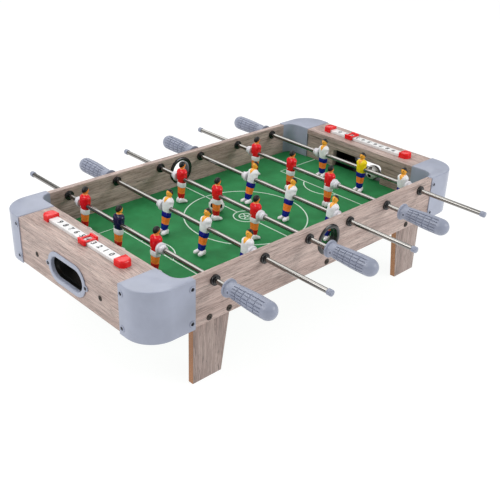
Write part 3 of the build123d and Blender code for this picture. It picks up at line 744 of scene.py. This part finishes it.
def build_liners():
    """A black sheet on the inside of each end panel, round the ball-return opening: painted shade that darkens
    the inside of the goal.
    """
    tray_low, tray_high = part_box("ball_trays")
    outline = rectangle(tray_low.y + 1 * MM, FIELD_TOP + 1 * MM, tray_high.y - 1 * MM, shelf_low.z - 1 * MM)
    inside = END_X - BOARD
    parts = [(slab(outline, end * (inside - 1.2 * MM), end * (inside - 0.1 * MM), 0.2 * MM, [RETURN_MOUTH]),
              "tray_plastic", TO_YZ) for end in SIDES]
    build("goal_shade_sheet_pair", parts, "tray_black")


# ---------------------------------------- score counters

STRIP_HALF_WIDTH = 7.5 * MM
DIGIT_PITCH = 14.3 * MM
STOP_HALF_X = 10 * MM
STOP_HALF_Y = 8.75 * MM
STOP_HEIGHT = 10 * MM
STOP_ROUND = 8 * MM
STOP_DOME = 3.4 * MM


def build_score_strips():
    low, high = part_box("score_strips")
    parts = []
    for end in SIDES:
        x = end * SCORE_X
        outline = rectangle(x - STRIP_HALF_WIDTH, low.y, x + STRIP_HALF_WIDTH, high.y)
        parts.append((slab(outline, low.z, high.z, 0.5 * MM), "score_white"))
    build("score_strip_pair", parts, "score_white", ["score_strips"])


def build_score_numbers():
    """The numbers 0 to 9 on each strip, read from that end of the table."""
    for end in SIDES:
        parts = []
        for digit in range(10):
            y = (digit - 4.5) * DIGIT_PITCH * -end
            matrix = at(end * SCORE_X, y, STRIP_TOP) @ turn_by(math.radians(90 * end), "Z")
            parts.append((digit_part(str(digit)), "printed_black", matrix))
        build("score_numbers_" + END_NAMES[end], parts, "score_white")


def digit_part(text):
    """A printed digit, as a film 0.06 mm thick centred on the origin."""
    curve = bpy.data.curves.new("digit", "FONT")
    curve.body = text
    curve.size = 12.0 * MM
    curve.align_x = "CENTER"
    curve.align_y = "CENTER"
    curve.extrude = 0.03 * MM
    curve.offset = 0.45 * MM
    curve.resolution_u = 4
    return curve_part(curve)


def stop_part():
    """A score stop about the origin, its round end towards +Y and its foot at Z = 0."""
    loop = [(-STOP_HALF_X, -STOP_HALF_Y), (STOP_HALF_X, -STOP_HALF_Y)]
    loop += arc(STOP_HALF_X - STOP_ROUND, STOP_HALF_Y - STOP_ROUND, STOP_ROUND, 0, 90, 14)
    loop += arc(-STOP_HALF_X + STOP_ROUND, STOP_HALF_Y - STOP_ROUND, STOP_ROUND, 90, 180, 14)
    rings = [[(x, y, 0) for x, y in loop]]
    steps = 8
    for step in range(steps + 1):
        turn = math.pi / 2 * step / steps
        height = STOP_HEIGHT - STOP_DOME * (1 - math.sin(turn))
        ring = []
        for (x, y), (xi, yi) in zip(loop, inset(loop, 2.6 * MM * (1 - math.cos(turn)))):
            share = 0.25 + 0.75 * min(max((y + STOP_HALF_Y) / (2 * STOP_HALF_Y), 0), 1)
            ring.append((x + (xi - x) * share, y + (yi - y) * share, height))
        rings.append(ring)
    return skin(rings)


def build_score_stops():
    low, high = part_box("score_stops")
    parts = [(stop_part(), "score_red", at(end * SCORE_X, side * (high.y - STOP_HALF_Y), low.z)
              @ turn_by(0 if side > 0 else math.pi, "Z")) for end in SIDES for side in SIDES]
    build("score_stop_set", parts, "score_red", ["score_stops"], angle=62)


def build_score_marker(end):
    """The rider: a plate with a window, and a foot on each side of the strip."""
    name = "score_marker_" + END_NAMES[end]
    low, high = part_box(name)
    x, y, _ = (low + high) / 2
    half_x, half_y, _ = (high - low) / 2
    window_x, window_y, play = 6.6 * MM, 4.8 * MM, 2.2 * MM
    digit_y = (math.floor(y / DIGIT_PITCH) + 0.5) * DIGIT_PITCH
    middle = y + min(max(digit_y - y, -play), play)
    outline = rectangle(x - half_x, y - half_y, x + half_x, y + half_y, 2 * MM)
    window = rectangle(x - window_x, middle - window_y, x + window_x, middle + window_y, 0.5 * MM)
    plate = slab(outline, STRIP_TOP + 0.3 * MM, STRIP_TOP + 2.3 * MM, 0.8 * MM, [window])
    parts = [(plate, "score_red")]
    for side in SIDES:
        inner, outer = sorted((x + side * 7.9 * MM, x + side * half_x))
        foot = rectangle(inner, y - half_y, outer, y + half_y, 1.4 * MM)
        parts.append((slab(foot, low.z, high.z - 1.2 * MM, 1.2 * MM), "score_red"))
    build(name + "_rider", parts, "score_red", [name], body=name)


# ---------------------------------------- field

LINE = 2.0 * MM                         # width of a painted line
PAINT = 0.08 * MM                       # how far it stands on the board
CENTRE_RADIUS = 104 * MM
CENTRE_SPOT = 22 * MM                   # the centre line stops short of the printed ball
AREA_X, AREA_Y = 189 * MM, 103 * MM     # corner of a penalty area
BOW_X, BOW_RADIUS = 211 * MM, 46 * MM   # the arc before it


def stroke(points, closed=False):
    """A flat painted line along points, as a thin closed part."""
    count = len(points)
    low, high = FIELD_TOP - PAINT, FIELD_TOP + PAINT
    rings = []
    for i in range(count):
        before = points[i - 1] if closed or i else points[i]
        after = points[(i + 1) % count] if closed or i < count - 1 else points[i]
        run = (Vector(after) - Vector(before)).normalized()
        normal = Vector((-run.y, run.x)) * LINE / 2
        a, b = Vector(points[i]) + normal, Vector(points[i]) - normal
        rings.append([(a.x, a.y, low), (b.x, b.y, low), (b.x, b.y, high), (a.x, a.y, high)])
    if closed:
        rings.append(rings[0])
    return skin(rings, not closed, not closed)


def build_field_lines():
    """Centre line and circles, and a penalty area with its arc at each end."""
    strokes = [stroke([(0, side * INNER_Y), (0, side * CENTRE_SPOT)]) for side in SIDES]
    for radius, count in ((CENTRE_RADIUS, 120), (21 * MM, 60), (3.6 * MM, 5), (11.5 * MM, 40)):
        strokes.append(stroke(circle(0, 0, radius, count), True))
    for near, far in zip(circle(0, 0, 4.0 * MM, 5), circle(0, 0, 11.2 * MM, 5)):
        strokes.append(stroke([near, far]))
    bow = [(x, y) for x, y in arc(BOW_X, 0, BOW_RADIUS, 90, 270, 60) if x < AREA_X]
    end_x = SHELF_X + 2 * MM
    area = [(end_x, -AREA_Y), (AREA_X, -AREA_Y), (AREA_X, AREA_Y), (end_x, AREA_Y)]
    for end in SIDES:
        strokes += [stroke([(end * x, y) for x, y in line]) for line in (area, bow)]
    build("field_lines", [(line, "field_line") for line in strokes], "field_green")


# ---------------------------------------- balls

GOLDEN = (1 + math.sqrt(5)) / 2
PENTAGON_REACH = 2.32744                # distance of a pentagon's plane, for an edge of 1
HEXAGON_REACH = 2.26728
SEAM_DEPTH = 0.010                      # share of the radius
SEAM_WIDTH = 0.009


def round_the_axes(x, y, z):
    return (x, y, z), (y, z, x), (z, x, y)


def ball_patches():
    """Directions to the middles of the 12 pentagons and the 20 hexagons, by their reach."""
    signs = [(a, b) for a in SIDES for b in SIDES]
    pentagons = [v for a, b in signs for v in round_the_axes(0, a, b * GOLDEN)]
    hexagons = [v for a, b in signs for v in round_the_axes(b * GOLDEN, a / GOLDEN, 0)]
    hexagons += [(a, b, c) for a, b in signs for c in SIDES]
    normals = [Vector(v).normalized() / PENTAGON_REACH for v in pentagons]
    normals += [Vector(v).normalized() / HEXAGON_REACH for v in hexagons]
    return np.array([tuple(v) for v in normals])


def ball_mesh(name, radius):
    """A football: black pentagons, white hexagons and shallow seams."""
    bm = bmesh.new()
    bmesh.ops.create_icosphere(bm, subdivisions=6, radius=radius)
    patches = ball_patches()
    for vertex in bm.verts:
        shares = np.sort(patches @ np.array(vertex.co.normalized()))
        gap = shares[-1] - shares[-2]
        vertex.co *= 1 - SEAM_DEPTH * max(0.0, 1 - gap / SEAM_WIDTH)
    for face in bm.faces:
        nearest = np.argmax(patches @ np.array(face.calc_center_median().normalized()))
        face.material_index = int(nearest < 12)
        face.smooth = True
    mesh = bpy.data.meshes.new(name)
    bm.to_mesh(mesh)
    bm.free()
    mesh.materials.append(materials["ball_white"])
    mesh.materials.append(materials["ball_black"])
    return mesh


def build_balls():
    mesh = ball_mesh("football", BALL_RADIUS)
    for node, (a, b, c) in {"field_ball": (0.5, 0.35, 1.1), "goal_ball": (1.9, -0.4, 0.3)}.items():
        turn = turn_by(a, "X") @ turn_by(b, "Y") @ turn_by(c, "Z")
        place(node + "_football", mesh, node, "ball_white", [node], at(*middle_of(node)) @ turn)


# ---------------------------------------- handles, caps and bumpers
# Profiles and depths in this section are in millimetres.

GROOVE_ANGLES = [180 * side + 21.3 * step for side in (0, 1) for step in range(-3, 4)]
GROOVE_EDGES = (-6.4, -4.0, -2.8, 0.0, 2.8, 4.0, 6.4)    # degrees from a groove's middle
GROOVE_START, GROOVE_END = 15.0, 71.0   # along the grip
RING_GROOVES = (23.5, 35.3, 47.0, 59.0)
GROOVE_DEPTH = 1.5
RING_DEPTH = 1.0


def handle_part():
    """The grip: flange at Z = 0, neck, grooved swell and domed end, along +Z."""
    turns = {round(g + edge, 3) % 360 for g in GROOVE_ANGLES for edge in GROOVE_EDGES}
    turns |= {band + 7 * step for band in (90, 270) for step in (-2, -1, 0, 1, 2)}
    rows = [(0.0, 13.0), (0.4, 13.4), (2.2, 13.4), (2.6, 13.0), (2.9, 11.0), (3.6, 10.7), (8.0, 10.6),
            (13.5, 10.9)]
    marks = {GROOVE_START + step * 1.0 for step in range(57)}
    marks |= {ring + edge for ring in RING_GROOVES for edge in (-0.9, -0.5, 0.5, 0.9)}
    rows += [(z, swell(z)) for z in sorted(marks)]
    dome = [math.pi / 2 * (0.08 + 0.92 * i / 14) for i in range(14)]
    rows += [(72.5 + 13.5 * math.sin(a), 13.1 * math.cos(a) ** 0.92) for a in dome] + [(86.0, 0.4)]
    rings = []
    for z, radius in rows:
        ring = []
        for turn in sorted(turns):
            r, a = radius - groove_depth(z, turn), math.radians(turn)
            ring.append((r * math.cos(a), r * math.sin(a), z))
        rings.append(ring)
    return transformed(skin(rings), Matrix.Scale(MM, 4))


def swell(z):
    """The grip's radius along its length."""
    share = min(max((z - 14) / 44, 0), 1)
    return 11.2 + 1.9 * (3 * share ** 2 - 2 * share ** 3) ** 0.8


def groove_depth(z, turn):
    """How deep the grooves are at a point of the grip."""
    if z < GROOVE_START or z > GROOVE_END:
        return 0.0
    away = min(abs((turn - g + 180) % 360 - 180) for g in GROOVE_ANGLES)
    fade = min((z - GROOVE_START) / 1.5, (GROOVE_END - z) / 1.5, 1.0)
    lengthwise = GROOVE_DEPTH * fade if away < 3.0 else 0.0
    near_ring = min(abs(z - ring) for ring in RING_GROOVES) < 0.6
    ribbed = abs((turn + 90) % 180 - 90) < 72
    return max(lengthwise, RING_DEPTH if near_ring and ribbed else 0.0)


def tilt_matrix(index):
    return Matrix.Translation(ROD_CENTRES[index]) @ turn_by(math.radians(REST_TILT[index]), "Y")


def rod_matrix(index):
    """From a rod's own place, middle figure at the origin and handle at -Y, to the table."""
    handle_far = middle_of(f"handle_{index + 1}").y > 0
    return tilt_matrix(index) @ (turn_by(math.pi, "X") if handle_far else IDENTITY)


def build_handle(index):
    number = index + 1
    start = HANDLE_LENGTH - HANDLE_END
    seat = at(-9.8 * MM, start - 10 * MM, 0) @ outward(0, -1)
    parts = [(handle_part(), "grip_plastic", at(0, start, 0) @ outward(1, -1)),
             (washer_part(2.0, 3.6, 1.4), "cap_plastic", seat),
             (screw_head(2.1, 1.1, 0.7, 0.3), "black_plastic", seat)]
    build(f"handle_{number}_grip", parts, "handle_plastic", [f"handle_{number}"],
          f"rod_{number}_set", rod_matrix(index), 38)


def build_rod_cap(index):
    number = index + 1
    bore = ROD_RADIUS / MM
    profile = [(0.2, 0), (3.6, 0), (4.4, -0.4), (4.7, -1.2), (4.7, -7.4), (4.4, -8.0), (bore, -8.0),
               (bore, -1.5), (0.2, -1.5)]
    part = (ring_part(profile, 40), "grip_plastic", at(0, ROD_CAP_END, 0) @ outward(1, 1))
    build(f"rod_{number}_end_cap", [part], "handle_plastic", [f"rod_fittings_{number}"],
          f"rod_{number}_set", rod_matrix(index))


def build_bumpers(index):
    """Two loose bumpers: a wide disc and a nose with a dark ring."""
    number = index + 1
    disc = [(BUSH_BORE, 9.3), (8.2, 9.3), (8.7, 9.8), (8.8, 11.4), (8.7, 13.2), (8.0, 14.1), (6.9, 14.4),
            (6.6, 15.2), (6.3, 19.0), (BUSH_BORE, 19.0)]
    line = [(BUSH_BORE, 19.0), (6.0, 19.0), (6.0, 19.5), (BUSH_BORE, 19.5)]
    lip = [(BUSH_BORE, 19.5), (6.2, 19.5), (6.2, 20.6), (5.8, 21.0), (BUSH_BORE, 21.0)]
    parts = [(ring_part(profile, 48), material, at(0, side * FIGURE_PITCH, 0) @ outward(1, side))
             for side in SIDES
             for profile, material in ((disc, "bumper_rubber"), (line, "bumper_ring"), (lip, "bumper_rubber"))]
    build(f"bumpers_{number}_pair", parts, "bumper_rubber", [f"bumpers_{number}"],
          f"rod_{number}_bumpers", rod_matrix(index))


# ---------------------------------------- figures
# A figure stands about the rod's axis, facing +X, in millimetres until it is placed.
# Its sections are (height, half width, half depth).

TORSO = [(-7.0, 7.8, 5.3), (-6.3, 8.3, 5.8), (-3, 8.8, 6.5), (1, 9.05, 7.2), (5, 9.1, 7.6),
         (8.4, 9.15, 7.6), (9.8, 9.8, 7.4), (11.2, 10.1, 7.1), (13.2, 9.5, 6.5), (15.0, 7.9, 5.7),
         (16.4, 5.6, 4.7), (17.2, 3.8, 3.9)]
SHORTS = [(-15.3, 7.1, 4.9), (-15.1, 7.8, 5.5), (-11.5, 8.1, 5.9), (-7.8, 8.0, 5.7), (-6.8, 7.2, 4.9)]
THIGHS = [(-27.6, 6.1, 4.2), (-22.0, 6.7, 4.6), (-15.0, 7.1, 4.9)]
SOCKS = [(-37.0, 5.5, 4.0), (-32.0, 5.9, 4.4), (-28.0, 6.5, 4.8), (-27.4, 6.4, 4.7), (-27.2, 5.7, 4.1)]
BOOT = [(-6.8, 1.6, 3.6), (-6.3, 2.5, 6.2), (-4.4, 3.0, 8.4), (-1.5, 3.1, 8.9), (0.8, 3.1, 8.4),
        (3.0, 3.4, 6.6), (5.6, 3.5, 5.2), (7.8, 3.1, 4.2), (8.8, 2.0, 2.9)]    # x, half width, height
SOLE = -43.8
ROUND = 40                              # points round a body section
SQUARENESS = 2.5


def smooth_rows(rows, steps):
    """More rows between the given ones, on a smooth curve through them."""
    table = np.array(rows, float)
    result = []
    for i in range(len(table) - 1):
        a, b = table[max(i - 1, 0)], table[i]
        c, d = table[i + 1], table[min(i + 2, len(table) - 1)]
        for k in range(steps):
            t = k / steps
            result.append(0.5 * (2 * b + (c - a) * t + (2 * a - 5 * b + 4 * c - d) * t ** 2
                                 + (3 * b - a - 3 * c + d) * t ** 3))
    return np.array(result + [table[-1]])


TORSO_ROWS = smooth_rows(TORSO, 4)


def signed_power(value, power):
    return math.copysign(abs(value) ** power, value)


def body_part(rows, power, groove=0.0):
    """A body part through sections. groove draws in the lines between arms and chest."""
    rings = []
    for z, half_y, half_x in rows:
        ring = []
        for i in range(ROUND):
            a = 2 * math.pi * i / ROUND
            c, s = math.cos(a), math.sin(a)
            near = min(abs(abs(s) - 0.78), 0.2) / 0.2
            pull = groove * (1 - near) * max(0, 1 - abs(z - 4) / 11)
            ring.append((half_x * signed_power(c, 2 / power) * (1 - pull),
                         half_y * signed_power(s, 2 / power) * (1 - pull * 0.4), z))
        rings.append(ring)
    return skin(rings)


def torso_depth(y, z):
    """How far the front of the torso is from the rod's plane at (y, z)."""
    heights, half_widths, half_depths = TORSO_ROWS.T
    share = min(abs(y) / np.interp(z, heights, half_widths), 0.999)
    return np.interp(z, heights, half_depths) * (1 - share ** SQUARENESS) ** (1 / SQUARENESS)


def neckline_part():
    """The V of bare skin below the chin, lying on the front of the torso."""
    across, down = 8, 10
    rings = []
    for row in range(down + 1):
        z = 17.1 - 8.3 * row / down
        half = 4.2 * (1 - row / down) ** 0.8 + 0.15
        line = [(torso_depth(y, z), y) for y in (half * (2 * i / across - 1) for i in range(across + 1))]
        rings.append([(x + 0.22, y, z) for x, y in line] + [(x - 0.5, y, z) for x, y in reversed(line)])
    return skin(rings)


HEAD_MIDDLE = 23.5
HEAD_HALF = (5.5, 5.1, 6.4)             # depth, width and height
HAIRLINE = math.radians(82)             # from a pole that is tilted back from the crown


def head_part(hair):
    """The hair shell, above the hairline, or the face below it."""
    pole = Vector((-0.58, 0, 0.815))
    side = Vector((0, 1, 0))
    front = side.cross(pole)
    rows, around = 10, 36
    start, end = (0, HAIRLINE) if hair else (HAIRLINE, math.pi)
    thickness = 0.40 if hair else 0.0
    rings = []
    for row in range(rows + 1):
        angle = start + (end - start) * row / rows
        ring = []
        for i in range(around):
            a = 2 * math.pi * i / around
            d = pole * math.cos(angle) + (front * math.cos(a) + side * math.sin(a)) * math.sin(angle)
            x, y, z = (d[k] * (HEAD_HALF[k] + thickness) for k in range(3))
            nose = math.exp(-((y / 1.1) ** 2 + ((z + 0.6) / 1.5) ** 2)) * (0.9 if d.x > 0 and not hair else 0)
            tuft = 0.12 * math.cos(9 * a + 3 * angle) * math.sin(angle) if hair else 0
            ring.append((x + nose + tuft, y, z + HEAD_MIDDLE + tuft))
        rings.append(ring)
    border, share = (rings[-1], 0.86) if hair else (rings[0], 0.9)
    inner = [(x * share, y * share, (z - HEAD_MIDDLE) * share + HEAD_MIDDLE) for x, y, z in border]
    rings.insert(len(rings) if hair else 0, inner)
    return skin(rings)


def eye_part(side):
    """A small dark eye on the face."""
    direction = Vector((0.93, side * 0.33, 0.14)).normalized()
    middle = Vector([direction[k] * HEAD_HALF[k] for k in range(3)]) + Vector((0, 0, HEAD_MIDDLE))
    bead = lathe([(0.05, 0.28), (0.35, 0.25), (0.62, 0.12), (0.72, 0.0), (0.72, -0.3)], 16)
    turn = Vector((0, 0, 1)).rotation_difference(direction).to_matrix().to_4x4()
    return transformed(bead, at(*middle) @ turn @ Matrix.Diagonal((0.7, 1.2, 1, 1)))


def boot_part(side):
    """One boot, heel at -X and toe at +X, turned out a little."""
    rings = []
    for x, half, height in smooth_rows(BOOT, 2):
        ring = []
        for i in range(20):
            a = 2 * math.pi * i / 20
            y = half * signed_power(math.cos(a), 0.7)
            z = height * (0.5 + 0.5 * signed_power(math.sin(a), 0.55 if math.sin(a) < 0 else 0.9))
            ring.append((x, y, z + SOLE))
        rings.append(ring)
    return transformed(skin(rings), at(0, side * 3.9, 0) @ turn_by(math.radians(15 * side), "Z"))


def mark_part():
    """A small plain white disc low on the back."""
    disc = lathe([(0.05, 0.15), (0.7, 0.15), (0.95, 0.1), (1.0, -0.3)], 20)
    y, z = 3.4, -3.2
    turn = turn_by(math.radians(-90), "Y") @ Matrix.Diagonal((1.5, 1.0, 1, 1))
    return transformed(disc, at(-torso_depth(y, z) - 0.05, y, z) @ turn_by(math.radians(-14), "Z") @ turn)


# The materials of each kit: shirt, shorts, socks and skin
KITS = {
    "red": ("shirt_red", "shorts_white", "socks_red", "skin_orange"),
    "red_keeper": ("shirt_navy", "shorts_white", "socks_red", "skin_amber"),
    "white": ("shirt_white", "kit_blue", "kit_blue", "skin_amber"),
    "white_keeper": ("shirt_yellow", "kit_blue", "kit_blue", "skin_amber"),
}


def figure_mesh(kit):
    shirt, shorts, socks, bare = KITS[kit]
    parts = [(body_part(TORSO_ROWS, SQUARENESS, 0.07), shirt),
             (body_part(smooth_rows(SHORTS, 3), 3.0), shorts),
             (body_part(smooth_rows(THIGHS, 3), 3.2), "thigh_orange"),
             (body_part(smooth_rows(SOCKS, 3), 3.2), socks),
             (neckline_part(), bare),
             (lathe([(4.6, 16.3), (4.2, 17.2), (3.5, 18.0), (3.5, 20.5)], 24), bare),
             (head_part(False), bare), (head_part(True), "hair_black"),
             (boot_part(-1), "boots_white"), (boot_part(1), "boots_white"),
             (eye_part(-1), "printed_black"), (eye_part(1), "printed_black")]
    if kit.startswith("red"):
        parts.append((mark_part(), "shorts_white"))
    scale = Matrix.Scale(MM, 4)
    return make_mesh("figure_" + kit, [(part, material, scale) for part, material in parts], 42)


def build_figures():
    meshes = {kit: figure_mesh(kit) for kit in KITS}
    for index in range(ROD_COUNT):
        number = index + 1
        team, face = ("red", 0) if index % 2 == 0 else ("white", math.pi)
        for step, step_name in ((-1, "near"), (0, "middle"), (1, "far")):
            keeper = step == 0 and index in (0, ROD_COUNT - 1)
            mesh = meshes[team + "_keeper" if keeper else team]
            matrix = tilt_matrix(index) @ at(0, step * FIGURE_PITCH, 0) @ turn_by(face, "Z")
            place(f"figure_{number}_{step_name}", mesh, f"rod_{number}_set", team + "_team",
                  [f"figures_{number}"], matrix)


# ---------------------------------------- camera, light and floor

CAMERA_PLACE = (-0.82406, -0.84540, 0.68358)
CAMERA_YAW = 0.7804                     # from +Y towards +X
CAMERA_PITCH = 0.4890                   # downwards
CAMERA_ROLL = 0.0382
CAMERA_LENS = 55.89                     # for a 36 mm sensor
FLOOR_REACH = 9.0
LIGHT_TARGET = Vector((0, 0, 0.1))

# Name, place, size and power of each light
LIGHTS = (("key", (-1.7, 0.5, 1.5), (1.2, 0.9), 17),
          ("front", (1.1, -1.8, 1.2), (1.2, 1.0), 21),
          ("back", (1.7, 1.6, 1.35), (2.6, 0.4), 5),
          ("high_back", (0.0, 1.45, 1.95), (2.4, 1.3), 20))

# Height of the direction, and brightness there: a pale backdrop, then darkness, then a bright ceiling
SKY = ((0.0, 1.0), (0.10, 1.0), (0.18, 0.10), (0.40, 0.24), (0.85, 0.76))


def build_camera():
    data = bpy.data.cameras.new("camera")
    data.lens = CAMERA_LENS
    data.sensor_width = 36.0
    camera = bpy.data.objects.new("camera", data)
    aim = turn_by(-CAMERA_YAW, "Z") @ turn_by(math.pi / 2 - CAMERA_PITCH, "X")
    camera.matrix_world = at(*CAMERA_PLACE) @ aim @ turn_by(CAMERA_ROLL, "Z")
    bpy.context.scene.collection.objects.link(camera)
    bpy.context.scene.camera = camera


def build_lights():
    for name, spot, size, power in LIGHTS:
        data = bpy.data.lights.new(name, "AREA")
        data.shape = "RECTANGLE"
        data.size, data.size_y = size
        data.energy = power
        light = bpy.data.objects.new(name, data)
        aim = (LIGHT_TARGET - Vector(spot)).to_track_quat("-Z", "Y").to_matrix().to_4x4()
        light.matrix_world = at(*spot) @ aim
        bpy.context.scene.collection.objects.link(light)


def build_floor():
    s = Shader("pale_floor")
    s.set(colour=(0.14, 0.14, 0.14, 1.0), rough=0.9, gloss=0.0, glow=(1.0, 1.0, 1.0, 1.0),
          glow_strength=0.92)
    mesh = bpy.data.meshes.new("floor")
    corners = rectangle(-FLOOR_REACH, -FLOOR_REACH, FLOOR_REACH, FLOOR_REACH)
    mesh.from_pydata([(x, y, 0) for x, y in corners], [], [(0, 1, 2, 3)])
    mesh.materials.append(s.material)
    floor = bpy.data.objects.new("floor", mesh)
    bpy.context.scene.collection.objects.link(floor)


def build_world():
    """The studio round the table, which the glossy parts reflect."""
    world = bpy.data.worlds.new("studio")
    world.use_nodes = True
    tree = world.node_tree
    direction = tree.nodes.new("ShaderNodeSeparateXYZ")
    tree.links.new(tree.nodes.new("ShaderNodeTexCoord").outputs["Generated"], direction.inputs[0])
    ramp = tree.nodes.new("ShaderNodeValToRGB")
    fill_ramp(ramp.color_ramp, SKY)
    tree.links.new(direction.outputs["Z"], ramp.inputs["Fac"])
    tree.links.new(ramp.outputs["Color"], tree.nodes["Background"].inputs["Color"])
    bpy.context.scene.world = world


# ---------------------------------------- everything in order

make_materials()
build_camera()
build_lights()
build_floor()
build_world()
bpy.context.scene.view_settings.view_transform = "Standard"
for name, material in (("playfield", "field_green"), ("field_support", "raw_board"),
                       ("ball_trays", "tray_plastic")):
    paint(name, material)
for one in SIDES:
    build_side_panel(one)
    build_end_panel(one)
    build_goal_panel(one)
    build_shelf(one)
    build_score_marker(one)
    for other in SIDES:
        build_leg(one, other)
build_caps()
build_bolts()
build_trim_screws()
build_bushings()
build_entry_rings()
build_return_frames()
build_liners()
build_score_strips()
build_score_numbers()
build_score_stops()
build_field_lines()
build_balls()
for rod in range(ROD_COUNT):
    paint(f"rod_{rod + 1}", "rod_chrome")
    build_handle(rod)
    build_rod_cap(rod)
    build_bumpers(rod)
build_figures()
